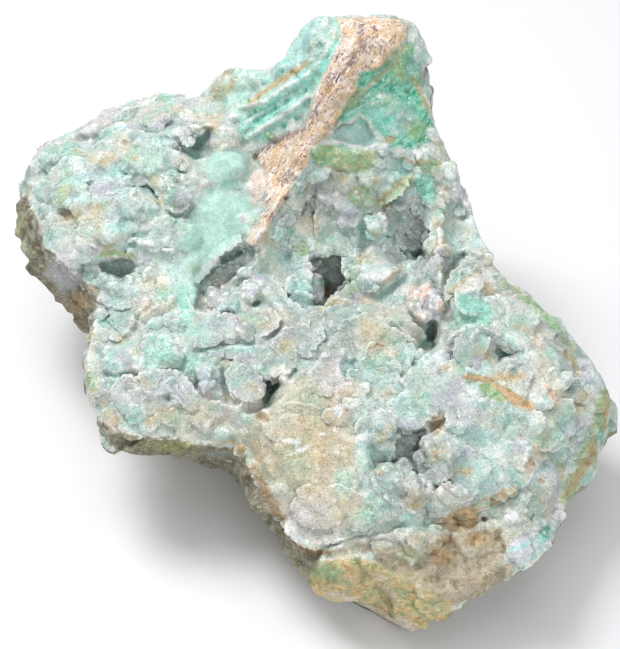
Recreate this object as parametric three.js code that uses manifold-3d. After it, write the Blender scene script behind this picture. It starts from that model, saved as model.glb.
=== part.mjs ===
// A hand specimen of drusy blue-green crust on green-brown matrix, grown and broken off as one piece.
// Millimetres, +Z up. It rests on a flat broken face at z = 0, with the origin under the middle of its
// box.
//
// The stone is a sphere of fine triangles drawn over the real form. The upper cap becomes the crust, laid
// on a tilted plane and pushed up and down by its lobes and hollows. The rest becomes the broken walls,
// which bulge below the rim, draw in underneath, and are cut off flat at the foot.
import * as THREE from "three";
import { ImprovedNoise } from "three/addons/math/ImprovedNoise.js";
import { mergeVertices } from "three/addons/utils/BufferGeometryUtils.js";
import Module from "manifold-3d";

// Driving dimensions
const CRUST_TILT = 16; // degrees that the crust leans towards -Y
const CRUST_HEIGHT = 38; // from the foot to the crust plane, under the plane's own origin
const CENTRE_U = 4; // the point of the crust plane that the rim is seen from, along u and v
const CENTRE_V = -1;
const RIM_ROLL = 1.2; // how far the crust rounds over at its rim
const ROLL_POWER = 9; // how close to the rim that rounding stays
const RIM_BLEND = 0.78; // share of the way out where the lobes start to give way to the rim's own heights
const LOBE_FEATHER = 1.25; // how far past its own edge a lobe or hollow fades out, as a share of its radius
const BELOW_CUT = 5; // how far the form runs below the flat foot before it is cut off

// Lumps all over the stone, each by its size, the depth that it is pushed, and a seed. The wall's lumps
// fade in below the rim and out above the cut, over these shares of the wall.
const CRUST_LUMPS = [
  { size: 9, depth: 1, seed: 3 },
  { size: 4.5, depth: 0.6, seed: 11 },
];
const WALL_LUMPS = [
  { size: 17, depth: 2.2, seed: 5 },
  { size: 8, depth: 1.5, seed: 17 },
];
const WALL_LUMPS_FROM = 0.25;
const WALL_LUMPS_TO = 0.85;

// Layout of the triangles
const SPHERE_DETAIL = 20; // divisions of each icosahedron edge, less one
const RIM_LEVEL = -0.3; // height on the unit sphere where crust turns to wall
const WALL_SHARE = 0.72; // share of the rest that the wall takes, before the underside
const WIDEST_SHARE = 0.36; // share of the wall above its widest line
const RIM_SAMPLES = 12; // points of the smooth rim for each point given below
const MERGE_MM = 1e-4;
const FOOT_BOX = 400; // side of the block that cuts the foot flat

// The rim, walked clockwise as seen from above, from the top of the peak. [u, v, rise above the crust
// plane]
const RIM = [
  [0, 70.5, 21], [9, 69, 23], [18, 69.5, 23], [25.5, 67, 21], [27, 60.5, 17], [27, 54, 13], [30.5, 46, 7],
  [35, 38.5, 2], [38.5, 26, -1], [40.5, 21.5, -2], [45, 13, -2], [53, 6.5, -3], [59.5, -1.5, -4],
  [63, -7.5, -5], [65.5, -15, -6], [62, -22, -6], [58, -30, -6], [55, -38, -5], [50, -47, -4],
  [45, -52, -3], [34, -58.5, -3], [23.5, -60.5, -2], [12.5, -56, 0], [2.5, -55.5, 0], [-2, -51, 0],
  [-6, -45, -1], [-10, -38, -1], [-13, -31, -1], [-17, -28.5, -1], [-28, -27, -1], [-37, -27, -1],
  [-43, -24, -2], [-47, -15, -2], [-48.5, 0, -2], [-48, 8, -3], [-54, 16, -3], [-61.5, 23, -3],
  [-65.5, 35, -3], [-66, 49, -3], [-56.5, 55, -2], [-47.5, 61, -1], [-37, 64.5, 0], [-26, 63.5, 2],
  [-19, 67, 8], [-9, 62.5, 12], [-5, 66, 16],
];

// The walls, by compass direction in degrees (0 is +X, 90 is the back). deep: from rim down to the widest
// line. bulge: how far that line stands outside the rim. foot: how far the foot reaches from the centre.
// hollow: over 1 where the wall draws in at once under its widest line, under 1 where it stays full on the
// way down.
const WALLS = [
  { toward: -172, deep: 6, bulge: 0.8, foot: 28, hollow: 1.3 },
  { toward: -156, deep: 4, bulge: 0.5, foot: 20, hollow: 1.4 },
  { toward: -140, deep: 5, bulge: 0.6, foot: 21, hollow: 1.3 },
  { toward: -120, deep: 6, bulge: 0.6, foot: 23, hollow: 1.1 },
  { toward: -100, deep: 8, bulge: 0.4, foot: 29, hollow: 1.1 },
  { toward: -86, deep: 9, bulge: 0.2, foot: 41, hollow: 1 },
  { toward: -73, deep: 9, bulge: 0.2, foot: 55, hollow: 0.9 },
  { toward: -57, deep: 4, bulge: 0, foot: 39, hollow: 1.1 },
  { toward: -40, deep: 5, bulge: 0.2, foot: 39, hollow: 1.1 },
  { toward: -20, deep: 7, bulge: 2, foot: 43, hollow: 1 },
  { toward: 2, deep: 9, bulge: 1.6, foot: 48, hollow: 0.9 },
  { toward: 20, deep: 11, bulge: 1.2, foot: 44, hollow: 0.8 },
  { toward: 42, deep: 20, bulge: 3.0, foot: 44, hollow: 0.8 },
  { toward: 62, deep: 34, bulge: 6.0, foot: 54, hollow: 0.7 },
  { toward: 82, deep: 46, bulge: 8.0, foot: 66, hollow: 0.6 },
  { toward: 98, deep: 44, bulge: 8.0, foot: 64, hollow: 0.6 },
  { toward: 114, deep: 26, bulge: 4.5, foot: 56, hollow: 0.8 },
  { toward: 132, deep: 16, bulge: 2.5, foot: 50, hollow: 0.9 },
  { toward: 148, deep: 12, bulge: 4.0, foot: 46, hollow: 1.1 },
  { toward: 166, deep: 13, bulge: 3.0, foot: 42, hollow: 1.2 },
];

// Lobes (rise above 0) and hollows (rise below 0) of the crust. at: middle, on the crust plane. across:
// length along and width over it. turn: degrees from u to its length. flat: the level share of its radius.
const RELIEF = [
  { name: "peak", at: [12, 68], across: [76, 54], turn: 92, rise: 22, flat: 0.08 },
  { name: "peak left shoulder", at: [-12, 58], across: [40, 26], turn: 30, rise: 6, flat: 0.1 },
  { name: "left lobe", at: [-42, 36], across: [52, 42], turn: 20, rise: 5, flat: 0.3 },
  { name: "lower left lobe", at: [-33, -14], across: [40, 26], turn: 10, rise: 3.5, flat: 0.3 },
  { name: "lower plate", at: [12, -28], across: [70, 48], turn: -20, rise: 5, flat: 0.4 },
  { name: "right lobe", at: [46, -12], across: [44, 34], turn: -50, rise: 4, flat: 0.3 },
  { name: "middle basin", at: [8, 19], across: [62, 34], turn: 8, rise: -8, flat: 0.2 },
  { name: "right flank hollow", at: [35, 28], across: [26, 12], turn: -70, rise: -3.5, flat: 0.1 },
  { name: "rind, head", at: [14, 63], across: [20, 13], turn: 60, rise: 3.5, flat: 0.3 },
  { name: "rind, upper", at: [6, 53], across: [22, 9], turn: 62, rise: 3.5, flat: 0.3 },
  { name: "rind, lower", at: [-1, 42], across: [20, 8], turn: 60, rise: 3.5, flat: 0.3 },
  { name: "rind, tail", at: [-8, 28], across: [24, 6], turn: 62, rise: 4, flat: 0.3 },
  { name: "mint dome", at: [-19, 40], across: [11, 11], turn: 0, rise: 3, flat: 0.2 },
  { name: "cream block", at: [-20, 48], across: [10, 9], turn: 0, rise: 2.5, flat: 0.4 },
  { name: "shaded vug", at: [-26, 46], across: [9, 8], turn: 0, rise: -4, flat: 0.2 },
  { name: "left fissure", at: [-35, 33], across: [19, 5], turn: -35, rise: -3, flat: 0.1 },
  { name: "green vug", at: [-43, 14], across: [11, 5.5], turn: 0, rise: -4, flat: 0.2 },
  { name: "sheet vug", at: [-20, 13], across: [13, 11], turn: 45, rise: -6, flat: 0.3 },
  { name: "window vug", at: [11, 45], across: [12, 7], turn: -10, rise: -4, flat: 0.3 },
  { name: "pale basin", at: [0, 31], across: [13, 9], turn: 20, rise: -3, flat: 0.2 },
  { name: "great vug", at: [4, 14], across: [13, 9], turn: 60, rise: -9, flat: 0.3 },
  { name: "grape vug", at: [22.5, 25], across: [13, 9], turn: 10, rise: -5, flat: 0.2 },
  { name: "mint lobe", at: [16, 15], across: [13, 11], turn: 0, rise: 5, flat: 0.2 },
  { name: "rib", at: [29.5, 20], across: [24, 4.5], turn: 88, rise: 3.5, flat: 0.2 },
  { name: "bright lobe", at: [36, 6], across: [14, 11], turn: 40, rise: 4.5, flat: 0.3 },
  { name: "plate edge", at: [12, 1], across: [26, 8], turn: 5, rise: 2, flat: 0.5 },
  { name: "side vug", at: [26, -3], across: [6, 9], turn: 0, rise: -6, flat: 0.2 },
  { name: "slit", at: [41, -8], across: [9, 4.5], turn: 8, rise: -4, flat: 0.1 },
  { name: "nose plate", at: [35, -4], across: [14, 9], turn: 10, rise: 1.5, flat: 0.5 },
  { name: "fissure vug", at: [-10, -18], across: [13, 5.5], turn: 65, rise: -5, flat: 0.2 },
  { name: "banded step", at: [-19, -8], across: [17, 6], turn: 5, rise: -2.5, flat: 0.2 },
  { name: "low vug", at: [20.5, -33], across: [20, 11], turn: -15, rise: -6.5, flat: 0.3 },
  { name: "boss in low vug", at: [27, -32], across: [8, 8], turn: 0, rise: 3.5, flat: 0.2 },
  { name: "ear", at: [46, -33], across: [10, 9], turn: 50, rise: 3, flat: 0.3 },
  { name: "brown seam", at: [35, -44], across: [26, 7], turn: 22, rise: -3, flat: 0.2 },
  { name: "foot sheet", at: [44, -49], across: [16, 8], turn: 25, rise: 2, flat: 0.3 },
];

const rad = THREE.MathUtils.degToRad;
const smooth = THREE.MathUtils.smoothstep;
const alongV = new THREE.Vector3(0, Math.cos(rad(CRUST_TILT)), Math.sin(rad(CRUST_TILT)));
const crustNormal = new THREE.Vector3(0, -Math.sin(rad(CRUST_TILT)), Math.cos(rad(CRUST_TILT)));
const noise = new ImprovedNoise();

/** A point of the crust plane, raised along its normal. */
function onCrust(u, v, rise) {
  return new THREE.Vector3(u, 0, CRUST_HEIGHT).addScaledVector(alongV, v).addScaledVector(crustNormal, rise);
}

/** How far the given lumps push a point of the surface. */
function pushed(point, lumps) {
  return lumps.reduce((sum, { size, depth, seed }) => {
    const part = noise.noise(point.x / size + seed, point.y / size - seed, point.z / size + seed / 2);
    return sum + depth * part;
  }, 0);
}

/** The rim as a smooth closed curve, sampled by the direction that each point lies in from the centre. */
function rimByDirection() {
  const points = RIM.map(([u, v, rise]) => new THREE.Vector3(u - CENTRE_U, v - CENTRE_V, rise));
  const curve = new THREE.CatmullRomCurve3(points, true, "centripetal");
  return curve
    .getPoints(RIM.length * RIM_SAMPLES)
    .map((p) => ({ angle: Math.atan2(p.y, p.x), reach: Math.hypot(p.x, p.y), rise: p.z }))
    .sort((a, b) => a.angle - b.angle);
}

const rim = rimByDirection();

/** Straight interpolation in a list sorted by angle, wrapping round at the ends. */
function around(list, angle, keys) {
  const turn = 2 * Math.PI;
  let after = list.findIndex((item) => item.angle > angle);
  if (after < 0) after = list.length;
  const b = list[after % list.length];
  const a = list[(after + list.length - 1) % list.length];
  const span = (b.angle - a.angle + turn) % turn;
  const part = span ? ((angle - a.angle + turn) % turn) / span : 0;
  return Object.fromEntries(keys.map((key) => [key, THREE.MathUtils.lerp(a[key], b[key], part)]));
}

const walls = WALLS.map((wall) => ({ ...wall, angle: rad(wall.toward) }));

/** Height of the crust above its plane: rim, lobes and hollows, and the lumps all over. */
function riseAt(u, v, share, rimRise) {
  let rise = 0;
  for (const { at, across, turn, rise: height, flat } of RELIEF) {
    const du = u - at[0];
    const dv = v - at[1];
    const c = Math.cos(rad(turn));
    const s = Math.sin(rad(turn));
    const reach = Math.hypot((du * c + dv * s) / (across[0] / 2), (dv * c - du * s) / (across[1] / 2));
    rise += height * (1 - smooth(reach, flat, LOBE_FEATHER));
  }
  const edge = smooth(share, RIM_BLEND, 1);
  return THREE.MathUtils.lerp(rise, rimRise, edge) - RIM_ROLL * share ** ROLL_POWER;
}

/** Where a point of the unit sphere goes on the stone. */
function placed(direction) {
  const angle = Math.atan2(direction.y, direction.x);
  const { reach, rise: rimRise } = around(rim, angle, ["reach", "rise"]);
  const rimU = CENTRE_U + reach * Math.cos(angle);
  const rimV = CENTRE_V + reach * Math.sin(angle);
  if (direction.z >= RIM_LEVEL) {
    const share = Math.sqrt((1 - direction.z) / (1 - RIM_LEVEL));
    const u = THREE.MathUtils.lerp(CENTRE_U, rimU, share);
    const v = THREE.MathUtils.lerp(CENTRE_V, rimV, share);
    const point = onCrust(u, v, riseAt(u, v, share, rimRise));
    return point.addScaledVector(crustNormal, pushed(point, CRUST_LUMPS));
  }
  const top = onCrust(rimU, rimV, riseAt(rimU, rimV, 1, rimRise));
  const centre = onCrust(CENTRE_U, CENTRE_V, 0);
  const outward = new THREE.Vector3(top.x - centre.x, top.y - centre.y, 0);
  const { deep, bulge, foot, hollow } = around(walls, angle, ["deep", "bulge", "foot", "hollow"]);
  outward.normalize();
  const down = (RIM_LEVEL - direction.z) / (1 + RIM_LEVEL) / WALL_SHARE;
  const point = top.clone();
  if (down <= WIDEST_SHARE) {
    const part = down / WIDEST_SHARE;
    point.addScaledVector(outward, bulge * Math.sin((part * Math.PI) / 2));
    point.z -= deep * part;
  } else if (down <= 1) {
    const part = (down - WIDEST_SHARE) / (1 - WIDEST_SHARE);
    const widest = new THREE.Vector3(top.x, top.y, 0).addScaledVector(outward, bulge);
    const seat = new THREE.Vector3(centre.x, centre.y, 0).addScaledVector(outward, foot);
    point.copy(widest).lerp(seat, part ** (1 / hollow));
    point.z = THREE.MathUtils.lerp(top.z - deep, -BELOW_CUT, part ** hollow);
  } else {
    const part = (down - 1) / (1 / WALL_SHARE - 1);
    point.set(centre.x, centre.y, -BELOW_CUT).addScaledVector(outward, foot * Math.sqrt(1 - part));
    return point;
  }
  const fade = smooth(down, 0, WALL_LUMPS_FROM) * (1 - smooth(down, WALL_LUMPS_TO, 1));
  return point.addScaledVector(outward, fade * pushed(point, WALL_LUMPS));
}

/** A geometry with only its positions, its shared corners merged. */
function bare(geometry) {
  geometry.deleteAttribute("normal");
  geometry.deleteAttribute("uv");
  return mergeVertices(geometry, MERGE_MM);
}

/** The whole stone before its foot is cut. */
function wholeStone() {
  const geometry = bare(new THREE.IcosahedronGeometry(1, SPHERE_DETAIL));
  const position = geometry.getAttribute("position");
  const direction = new THREE.Vector3();
  for (let i = 0; i < position.count; i++) {
    const point = placed(direction.fromBufferAttribute(position, i).normalize());
    position.setXYZ(i, point.x, point.y, point.z);
  }
  return geometry;
}

const wasm = await Module();
wasm.setup();

/** A closed geometry as a solid that can be cut. */
function solidOf(geometry) {
  return new wasm.Manifold(
    new wasm.Mesh({
      numProp: 3,
      vertProperties: new Float32Array(geometry.getAttribute("position").array),
      triVerts: new Uint32Array(geometry.index.array),
    }),
  );
}

/** A cut solid as a geometry again. */
function geometryOf(solid) {
  const { vertProperties, triVerts } = solid.getMesh();
  return new THREE.BufferGeometry()
    .setAttribute("position", new THREE.BufferAttribute(new Float32Array(vertProperties), 3))
    .setIndex(new THREE.BufferAttribute(new Uint32Array(triVerts), 1));
}

/** The stone with its foot cut flat, moved so that the origin is under the middle of its box. */
function restingStone() {
  const ground = bare(new THREE.BoxGeometry(FOOT_BOX, FOOT_BOX, FOOT_BOX));
  ground.translate(0, 0, -FOOT_BOX / 2);
  const geometry = geometryOf(solidOf(wholeStone()).subtract(solidOf(ground)));
  geometry.computeBoundingBox();
  const middle = geometry.boundingBox.getCenter(new THREE.Vector3());
  geometry.translate(-middle.x, -middle.y, 0);
  geometry.computeVertexNormals();
  return geometry;
}

const stone = new THREE.MeshStandardMaterial({ color: 0x9cc4b4, roughness: 0.62, metalness: 0 });

const specimen = new THREE.Mesh(restingStone(), stone);
specimen.name = "specimen";

const garnierite = new THREE.Group();
garnierite.add(specimen);

export default garnierite;
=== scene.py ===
"""A hand specimen of drusy blue-green crust on green-brown matrix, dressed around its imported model.

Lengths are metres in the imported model's frame, +Z up, unless a name ends in _mm. The crust's features
are laid out as they are seen from the front: each is placed in view points, of which the whole view has
620 across and 649 down, and is then set down on the stone along the line of sight. How far a feature
stands up or goes in is a real size in millimetres.
"""
import logging
import math
from collections.abc import Callable
from dataclasses import dataclass
from enum import Enum, IntEnum

import bpy
import numpy as np
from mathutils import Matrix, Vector
from mathutils.bvhtree import BVHTree


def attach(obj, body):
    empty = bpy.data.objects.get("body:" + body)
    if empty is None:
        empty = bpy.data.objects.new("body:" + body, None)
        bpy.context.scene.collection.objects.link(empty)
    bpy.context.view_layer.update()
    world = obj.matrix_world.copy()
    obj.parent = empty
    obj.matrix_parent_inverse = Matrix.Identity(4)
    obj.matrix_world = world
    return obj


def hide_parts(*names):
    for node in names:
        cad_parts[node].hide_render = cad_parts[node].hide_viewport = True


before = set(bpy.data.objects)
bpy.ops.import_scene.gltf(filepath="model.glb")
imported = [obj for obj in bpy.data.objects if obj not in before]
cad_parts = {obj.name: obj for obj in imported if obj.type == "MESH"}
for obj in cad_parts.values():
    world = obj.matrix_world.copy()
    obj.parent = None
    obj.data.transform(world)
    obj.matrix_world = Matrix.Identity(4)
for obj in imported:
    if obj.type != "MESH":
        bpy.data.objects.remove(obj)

log = logging.getLogger("specimen")

MM = 0.001
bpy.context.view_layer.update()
NODE = "specimen"
BODY = "root"
# How the peak's fibres and the rind's run in the view, turned up from its right, in degrees.
STRIPE_TURN = 41
RIND_TURN = 54

Array = np.ndarray
Point = tuple[float, float]


class Seed(IntEnum):
    """What each field of noise and each run of random draws starts from."""

    PLATES = 5
    PLACES = 12
    SCALLOPS = 17
    CHIPS = 21
    SMALL_CHIPS = 23
    POINTS = 29
    CRUST_KNOBS = 31
    GRAINS = 33
    SWELL = 35
    CRUST_SWELL = 36
    STREAKS = 37
    ROUGH = 39
    PATCHES = 41
    BLOTS = 43
    FINE = 47
    PLATE_TINTS = 51
    KNOB_TINTS = 53
    VEINS = 61
    STAINS = 67
    PLATE_BEND = 70
    LIE = 79
    CHIP_BEND = 80
    BROKEN = 85
    FIBRES = 87
    LEAVES = 89
    DRUSE = 91
    EDGE_WAVES = 95
    EDGE_WANDER = 97
    STAIN_TINTS = 111


def screen_colour(code: str) -> Array:
    """Splits a colour code into its three screen values.

    Args:
        code: Six hex digits after a hash.

    Returns:
        Red, green and blue from 0 to 1, as a screen shows them.
    """
    digits = code.lstrip("#")
    return np.array([int(digits[i:i + 2], 16) / 255 for i in (0, 2, 4)])


def linear(screen: Array) -> Array:
    """Turns screen colour values into the linear ones that materials work in."""
    low = screen / 12.92
    high = ((np.maximum(screen, 0) + 0.055) / 1.055) ** 2.4
    return np.where(screen <= 0.04045, low, high)


def blend(tint: Array, code: str, share: Array) -> None:
    """Lays a colour over screen colours, in place.

    Args:
        tint: The colours, one row each.
        code: The colour's code.
        share: How far it covers each, as a column.
    """
    tint[:] = tint * (1 - share) + screen_colour(code) * share


def ramp(value: Array, start: float, end: float) -> Array:
    """Rises smoothly from 0 at start to 1 at end; start may be the larger.

    Args:
        value: What is measured.
        start: Where the ramp leaves 0.
        end: Where it reaches 1.

    Returns:
        The share, from 0 to 1.
    """
    share = np.clip((value - start) / (end - start), 0, 1)
    return share * share * (3 - 2 * share)


class Noise:
    """Seeded noise fields in space, each worked out for many points at once."""

    CORNERS = [(i, j, k) for i in (0, 1) for j in (0, 1) for k in (0, 1)]
    NEIGHBOURS = [(i, j, k) for i in (-1, 0, 1) for j in (-1, 0, 1) for k in (-1, 0, 1)]
    MIX = (np.uint32(374761393), np.uint32(668265263), np.uint32(2246822519), np.uint32(3266489917))

    @classmethod
    def scramble(cls, cell: Array, seed: int) -> Array:
        """Gives each whole-numbered cell a scrambled number of 32 bits.

        Args:
            cell: Whole-numbered corners, one row each.
            seed: Which field.

        Returns:
            One unsigned number for each row.
        """
        parts = cell.astype(np.int64).astype(np.uint32)
        mixed = parts[:, 0] * cls.MIX[0] + parts[:, 1] * cls.MIX[1] + parts[:, 2] * cls.MIX[2]
        mixed = mixed + np.uint32((seed * int(cls.MIX[3])) & 0xFFFFFFFF)
        mixed = (mixed ^ (mixed >> np.uint32(15))) * cls.MIX[2]
        mixed = (mixed ^ (mixed >> np.uint32(13))) * cls.MIX[3]
        return mixed ^ (mixed >> np.uint32(16))

    @classmethod
    def spread(cls, scrambled: Array) -> Array:
        """Turns scrambled numbers into three values from -1 to 1 each."""
        shifts = (0, 10, 20)
        parts = [((scrambled >> np.uint32(s)) & np.uint32(1023)) for s in shifts]
        return np.stack(parts, axis=1).astype(np.float32) / 511.5 - 1

    @classmethod
    def soft(cls, at_mm: Array, size_mm: float, seed: int, octaves: int = 1) -> Array:
        """Smooth noise, from about -1 to 1.

        Args:
            at_mm: Where, one row each.
            size_mm: Across one lump of the coarsest layer.
            seed: Which field.
            octaves: Number of layers, each half as wide and a little over half as strong.

        Returns:
            The noise, one value for each row.
        """
        total = np.zeros(len(at_mm), np.float32)
        strength = 1.0
        whole = 0.0
        for octave in range(octaves):
            scaled = at_mm / size_mm
            base = np.floor(scaled)
            part = (scaled - base).astype(np.float32)
            fade = part * part * part * (part * (part * 6 - 15) + 10)
            layer = np.zeros(len(at_mm), np.float32)
            for corner in cls.CORNERS:
                slope = cls.spread(cls.scramble(base + corner, seed + 101 * octave))
                offset = part - np.array(corner, np.float32)
                share = np.ones(len(at_mm), np.float32)
                for axis in range(3):
                    share = share * (fade[:, axis] if corner[axis] else 1 - fade[:, axis])
                layer += share * np.einsum("ij,ij->i", slope, offset)
            total += layer * strength
            whole += strength
            strength *= 0.55
            size_mm = size_mm / 2
        return total * 1.5 / whole

    @classmethod
    def cells(cls, at_mm: Array, size_mm: float, seed: int) -> tuple[Array, Array, Array, Array]:
        """Noise of scattered points, as grains or plates grow out from seeds.

        Args:
            at_mm: Where, one row each.
            size_mm: Spacing of the points.
            seed: Which field.

        Returns:
            Distance to the nearest point and to the next, in spacings, the way from the nearest point in
            spacings, and the nearest point's own three values from -1 to 1.
        """
        scaled = at_mm / size_mm
        base = np.floor(scaled)
        part = (scaled - base).astype(np.float32)
        first = np.full(len(at_mm), 9.0, np.float32)
        second = np.full(len(at_mm), 9.0, np.float32)
        way = np.zeros((len(at_mm), 3), np.float32)
        own = np.zeros(len(at_mm), np.uint32)
        for neighbour in cls.NEIGHBOURS:
            name = cls.scramble(base + neighbour, seed)
            point = np.array(neighbour, np.float32) + 0.5 + 0.42 * cls.spread(name)
            apart = part - point
            distance = np.einsum("ij,ij->i", apart, apart)
            nearer = distance < first
            second = np.where(nearer, first, np.minimum(second, distance))
            first = np.where(nearer, distance, first)
            way[nearer] = apart[nearer]
            own[nearer] = name[nearer]
        return np.sqrt(first), np.sqrt(second), way, cls.spread(own * cls.MIX[1])

    @classmethod
    def bent(cls, at_mm: Array, size_mm: float, seed: int, reach_mm: float, octaves: int = 1) -> Array:
        """Moves points about by noise, so that what is laid on them runs unevenly.

        Args:
            at_mm: Where, one row each.
            size_mm: Across one lump of the noise.
            seed: The first of three fields.
            reach_mm: How far the points move.
            octaves: Number of layers.

        Returns:
            Where the points go.
        """
        shift = np.stack([cls.soft(at_mm, size_mm, seed + axis, octaves) for axis in range(3)], axis=1)
        return at_mm + shift * reach_mm

    @classmethod
    def knobs(cls, at_mm: Array, size_mm: float, seed: int, height: float, varies: float) -> Array:
        """Height of small round knobs that touch one another.

        Args:
            at_mm: Where, one row each.
            size_mm: Across one knob.
            seed: Which field.
            height: How high a knob is.
            varies: How far its height varies.

        Returns:
            The heights, one value for each row.
        """
        first, _, _, own = cls.cells(at_mm, size_mm, seed)
        return np.sqrt(np.clip(1 - (first / 0.85) ** 2, 0, 1)) * (height + varies * own[:, 0])


@dataclass(frozen=True)
class Sight:
    """Where the stone is looked at from, and how its points fall in the view.

    The crust plane leans towards the front, and the eye looks at that plane's own origin.
    """

    across: float = 620
    down: float = 649
    crust_at_mm: tuple[float, float, float] = (1.0135, -5.5966, 38)
    crust_tilt: float = math.radians(16)
    raised: float = math.radians(45)
    away_mm: float = 350
    point_mm: float = 0.22

    @property
    def focal(self) -> float:
        """Focal length in view points."""
        return self.away_mm / self.point_mm

    @property
    def back(self) -> Array:
        """Unit vector from the stone to the eye."""
        return np.array([0, -math.cos(self.raised), math.sin(self.raised)])

    @property
    def up(self) -> Array:
        """Unit vector that points up the view."""
        return np.array([0, math.sin(self.raised), math.cos(self.raised)])

    @property
    def crust_normal(self) -> Array:
        """Unit vector square to the crust plane."""
        return np.array([0, -math.sin(self.crust_tilt), math.cos(self.crust_tilt)])

    @property
    def eye_mm(self) -> Array:
        """Where the eye is, in millimetres."""
        return np.array(self.crust_at_mm) + self.away_mm * self.back

    def seen_at(self, at_mm: Array) -> tuple[Array, Array, Array]:
        """Finds where points fall in the view.

        Args:
            at_mm: Points in millimetres, one row each.

        Returns:
            View points across and down, and the depth from the eye in millimetres.
        """
        offset = at_mm - self.eye_mm
        depth = -(offset @ self.back)
        x = self.across / 2 + self.focal * offset[:, 0] / depth
        y = self.down / 2 - self.focal * (offset @ self.up) / depth
        return x, y, depth

    def towards_eye(self, at_mm: Array) -> Array:
        """Unit vectors from points to the eye."""
        way = self.eye_mm - at_mm
        return way / np.linalg.norm(way, axis=1, keepdims=True)

    def way(self, turn: float) -> Array:
        """The way in space that a line turned up from the right of the view runs, the turn in degrees."""
        right = np.cross(self.up, self.back)
        return right * math.cos(math.radians(turn)) + self.up * math.sin(math.radians(turn))

    def ray(self, x: float, y: float) -> Array:
        """Looks from the eye through one view point.

        Args:
            x: The view point across.
            y: The view point down.

        Returns:
            The unit vector that way.
        """
        way = -self.back * self.focal + self.up * (self.down / 2 - y)
        way = way + np.array([1.0, 0, 0]) * (x - self.across / 2)
        return way / np.linalg.norm(way)


class Grain(Enum):
    """The kinds of surface that the stone has, by how they are broken up close to."""

    DRUSE = "druse"
    SMOOTH = "smooth"
    FIBRE = "fibre"
    GRAINY = "grainy"
    RIND = "rind"
    ROCK = "rock"
    LEAFY = "leafy"


@dataclass(frozen=True)
class Pigment:
    """A mineral's two colours, which it is mottled in, and its grain."""

    main: str
    other: str
    grain: Grain = Grain.DRUSE


class Mineral(Enum):
    """The minerals and stains that the stone shows, and the colours of painted shade."""

    AQUA = Pigment("#a6bcb7", "#bfcfcb")
    MINT = Pigment("#92cfbf", "#b0dcd1")
    GREY = Pigment("#9fa8a4", "#b8bebc")
    LILAC = Pigment("#b8b6c4", "#cecbd6")
    TAN = Pigment("#b1a68c", "#c5bca6")
    CREAM = Pigment("#dcd3c5", "#c9c1ae")
    WHITE = Pigment("#e6e3e4", "#d6dbdb")
    SHEET = Pigment("#9ac8bb", "#b6d8ce", Grain.SMOOTH)
    # Blue-grey of some plates, and painted shade on darker druse.
    SLATE_AND_SHADE = Pigment("#84918e", "#9aa5a2")
    GRIT = Pigment("#bdb09a", "#a59a84", Grain.ROCK)
    TEAL = Pigment("#57948d", "#7bb4ab")
    TURQUOISE = Pigment("#6ecebc", "#9fdfd3")
    JADE = Pigment("#76c4b0", "#9fdccd", Grain.FIBRE)
    EMERALD = Pigment("#46ab8a", "#8fd3b9", Grain.FIBRE)
    GRASS = Pigment("#6c9d70", "#92ae80", Grain.GRAINY)
    OLIVE = Pigment("#9f9f70", "#84ac88", Grain.GRAINY)
    OCHRE = Pigment("#b49560", "#c9b089")
    ORANGE = Pigment("#b98d5b", "#c9a882", Grain.ROCK)
    PINK = Pigment("#d4b7aa", "#e2ccc3")
    RIND = Pigment("#e8d3c6", "#d9bd9f", Grain.RIND)
    SPECK = Pigment("#4b3a3e", "#6a4c48", Grain.RIND)
    PIT = Pigment("#46363b", "#634a4b", Grain.ROCK)
    # Painted shade: the dark colour laid in hollows, holes and the falls in front of edges.
    HOLLOW_SHADE = Pigment("#65766f", "#86968e", Grain.SMOOTH)
    MATRIX = Pigment("#8a8472", "#6b6555", Grain.ROCK)
    BROWN = Pigment("#8d745a", "#a38461", Grain.ROCK)
    MOSS = Pigment("#7c8459", "#929665", Grain.ROCK)
    LEAF = Pigment("#a5a576", "#cfb487", Grain.LEAFY)


class Shape(Enum):
    """How a feature's points are read."""

    LINE = "line"
    AREA = "area"
    SPOT = "spot"


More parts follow.
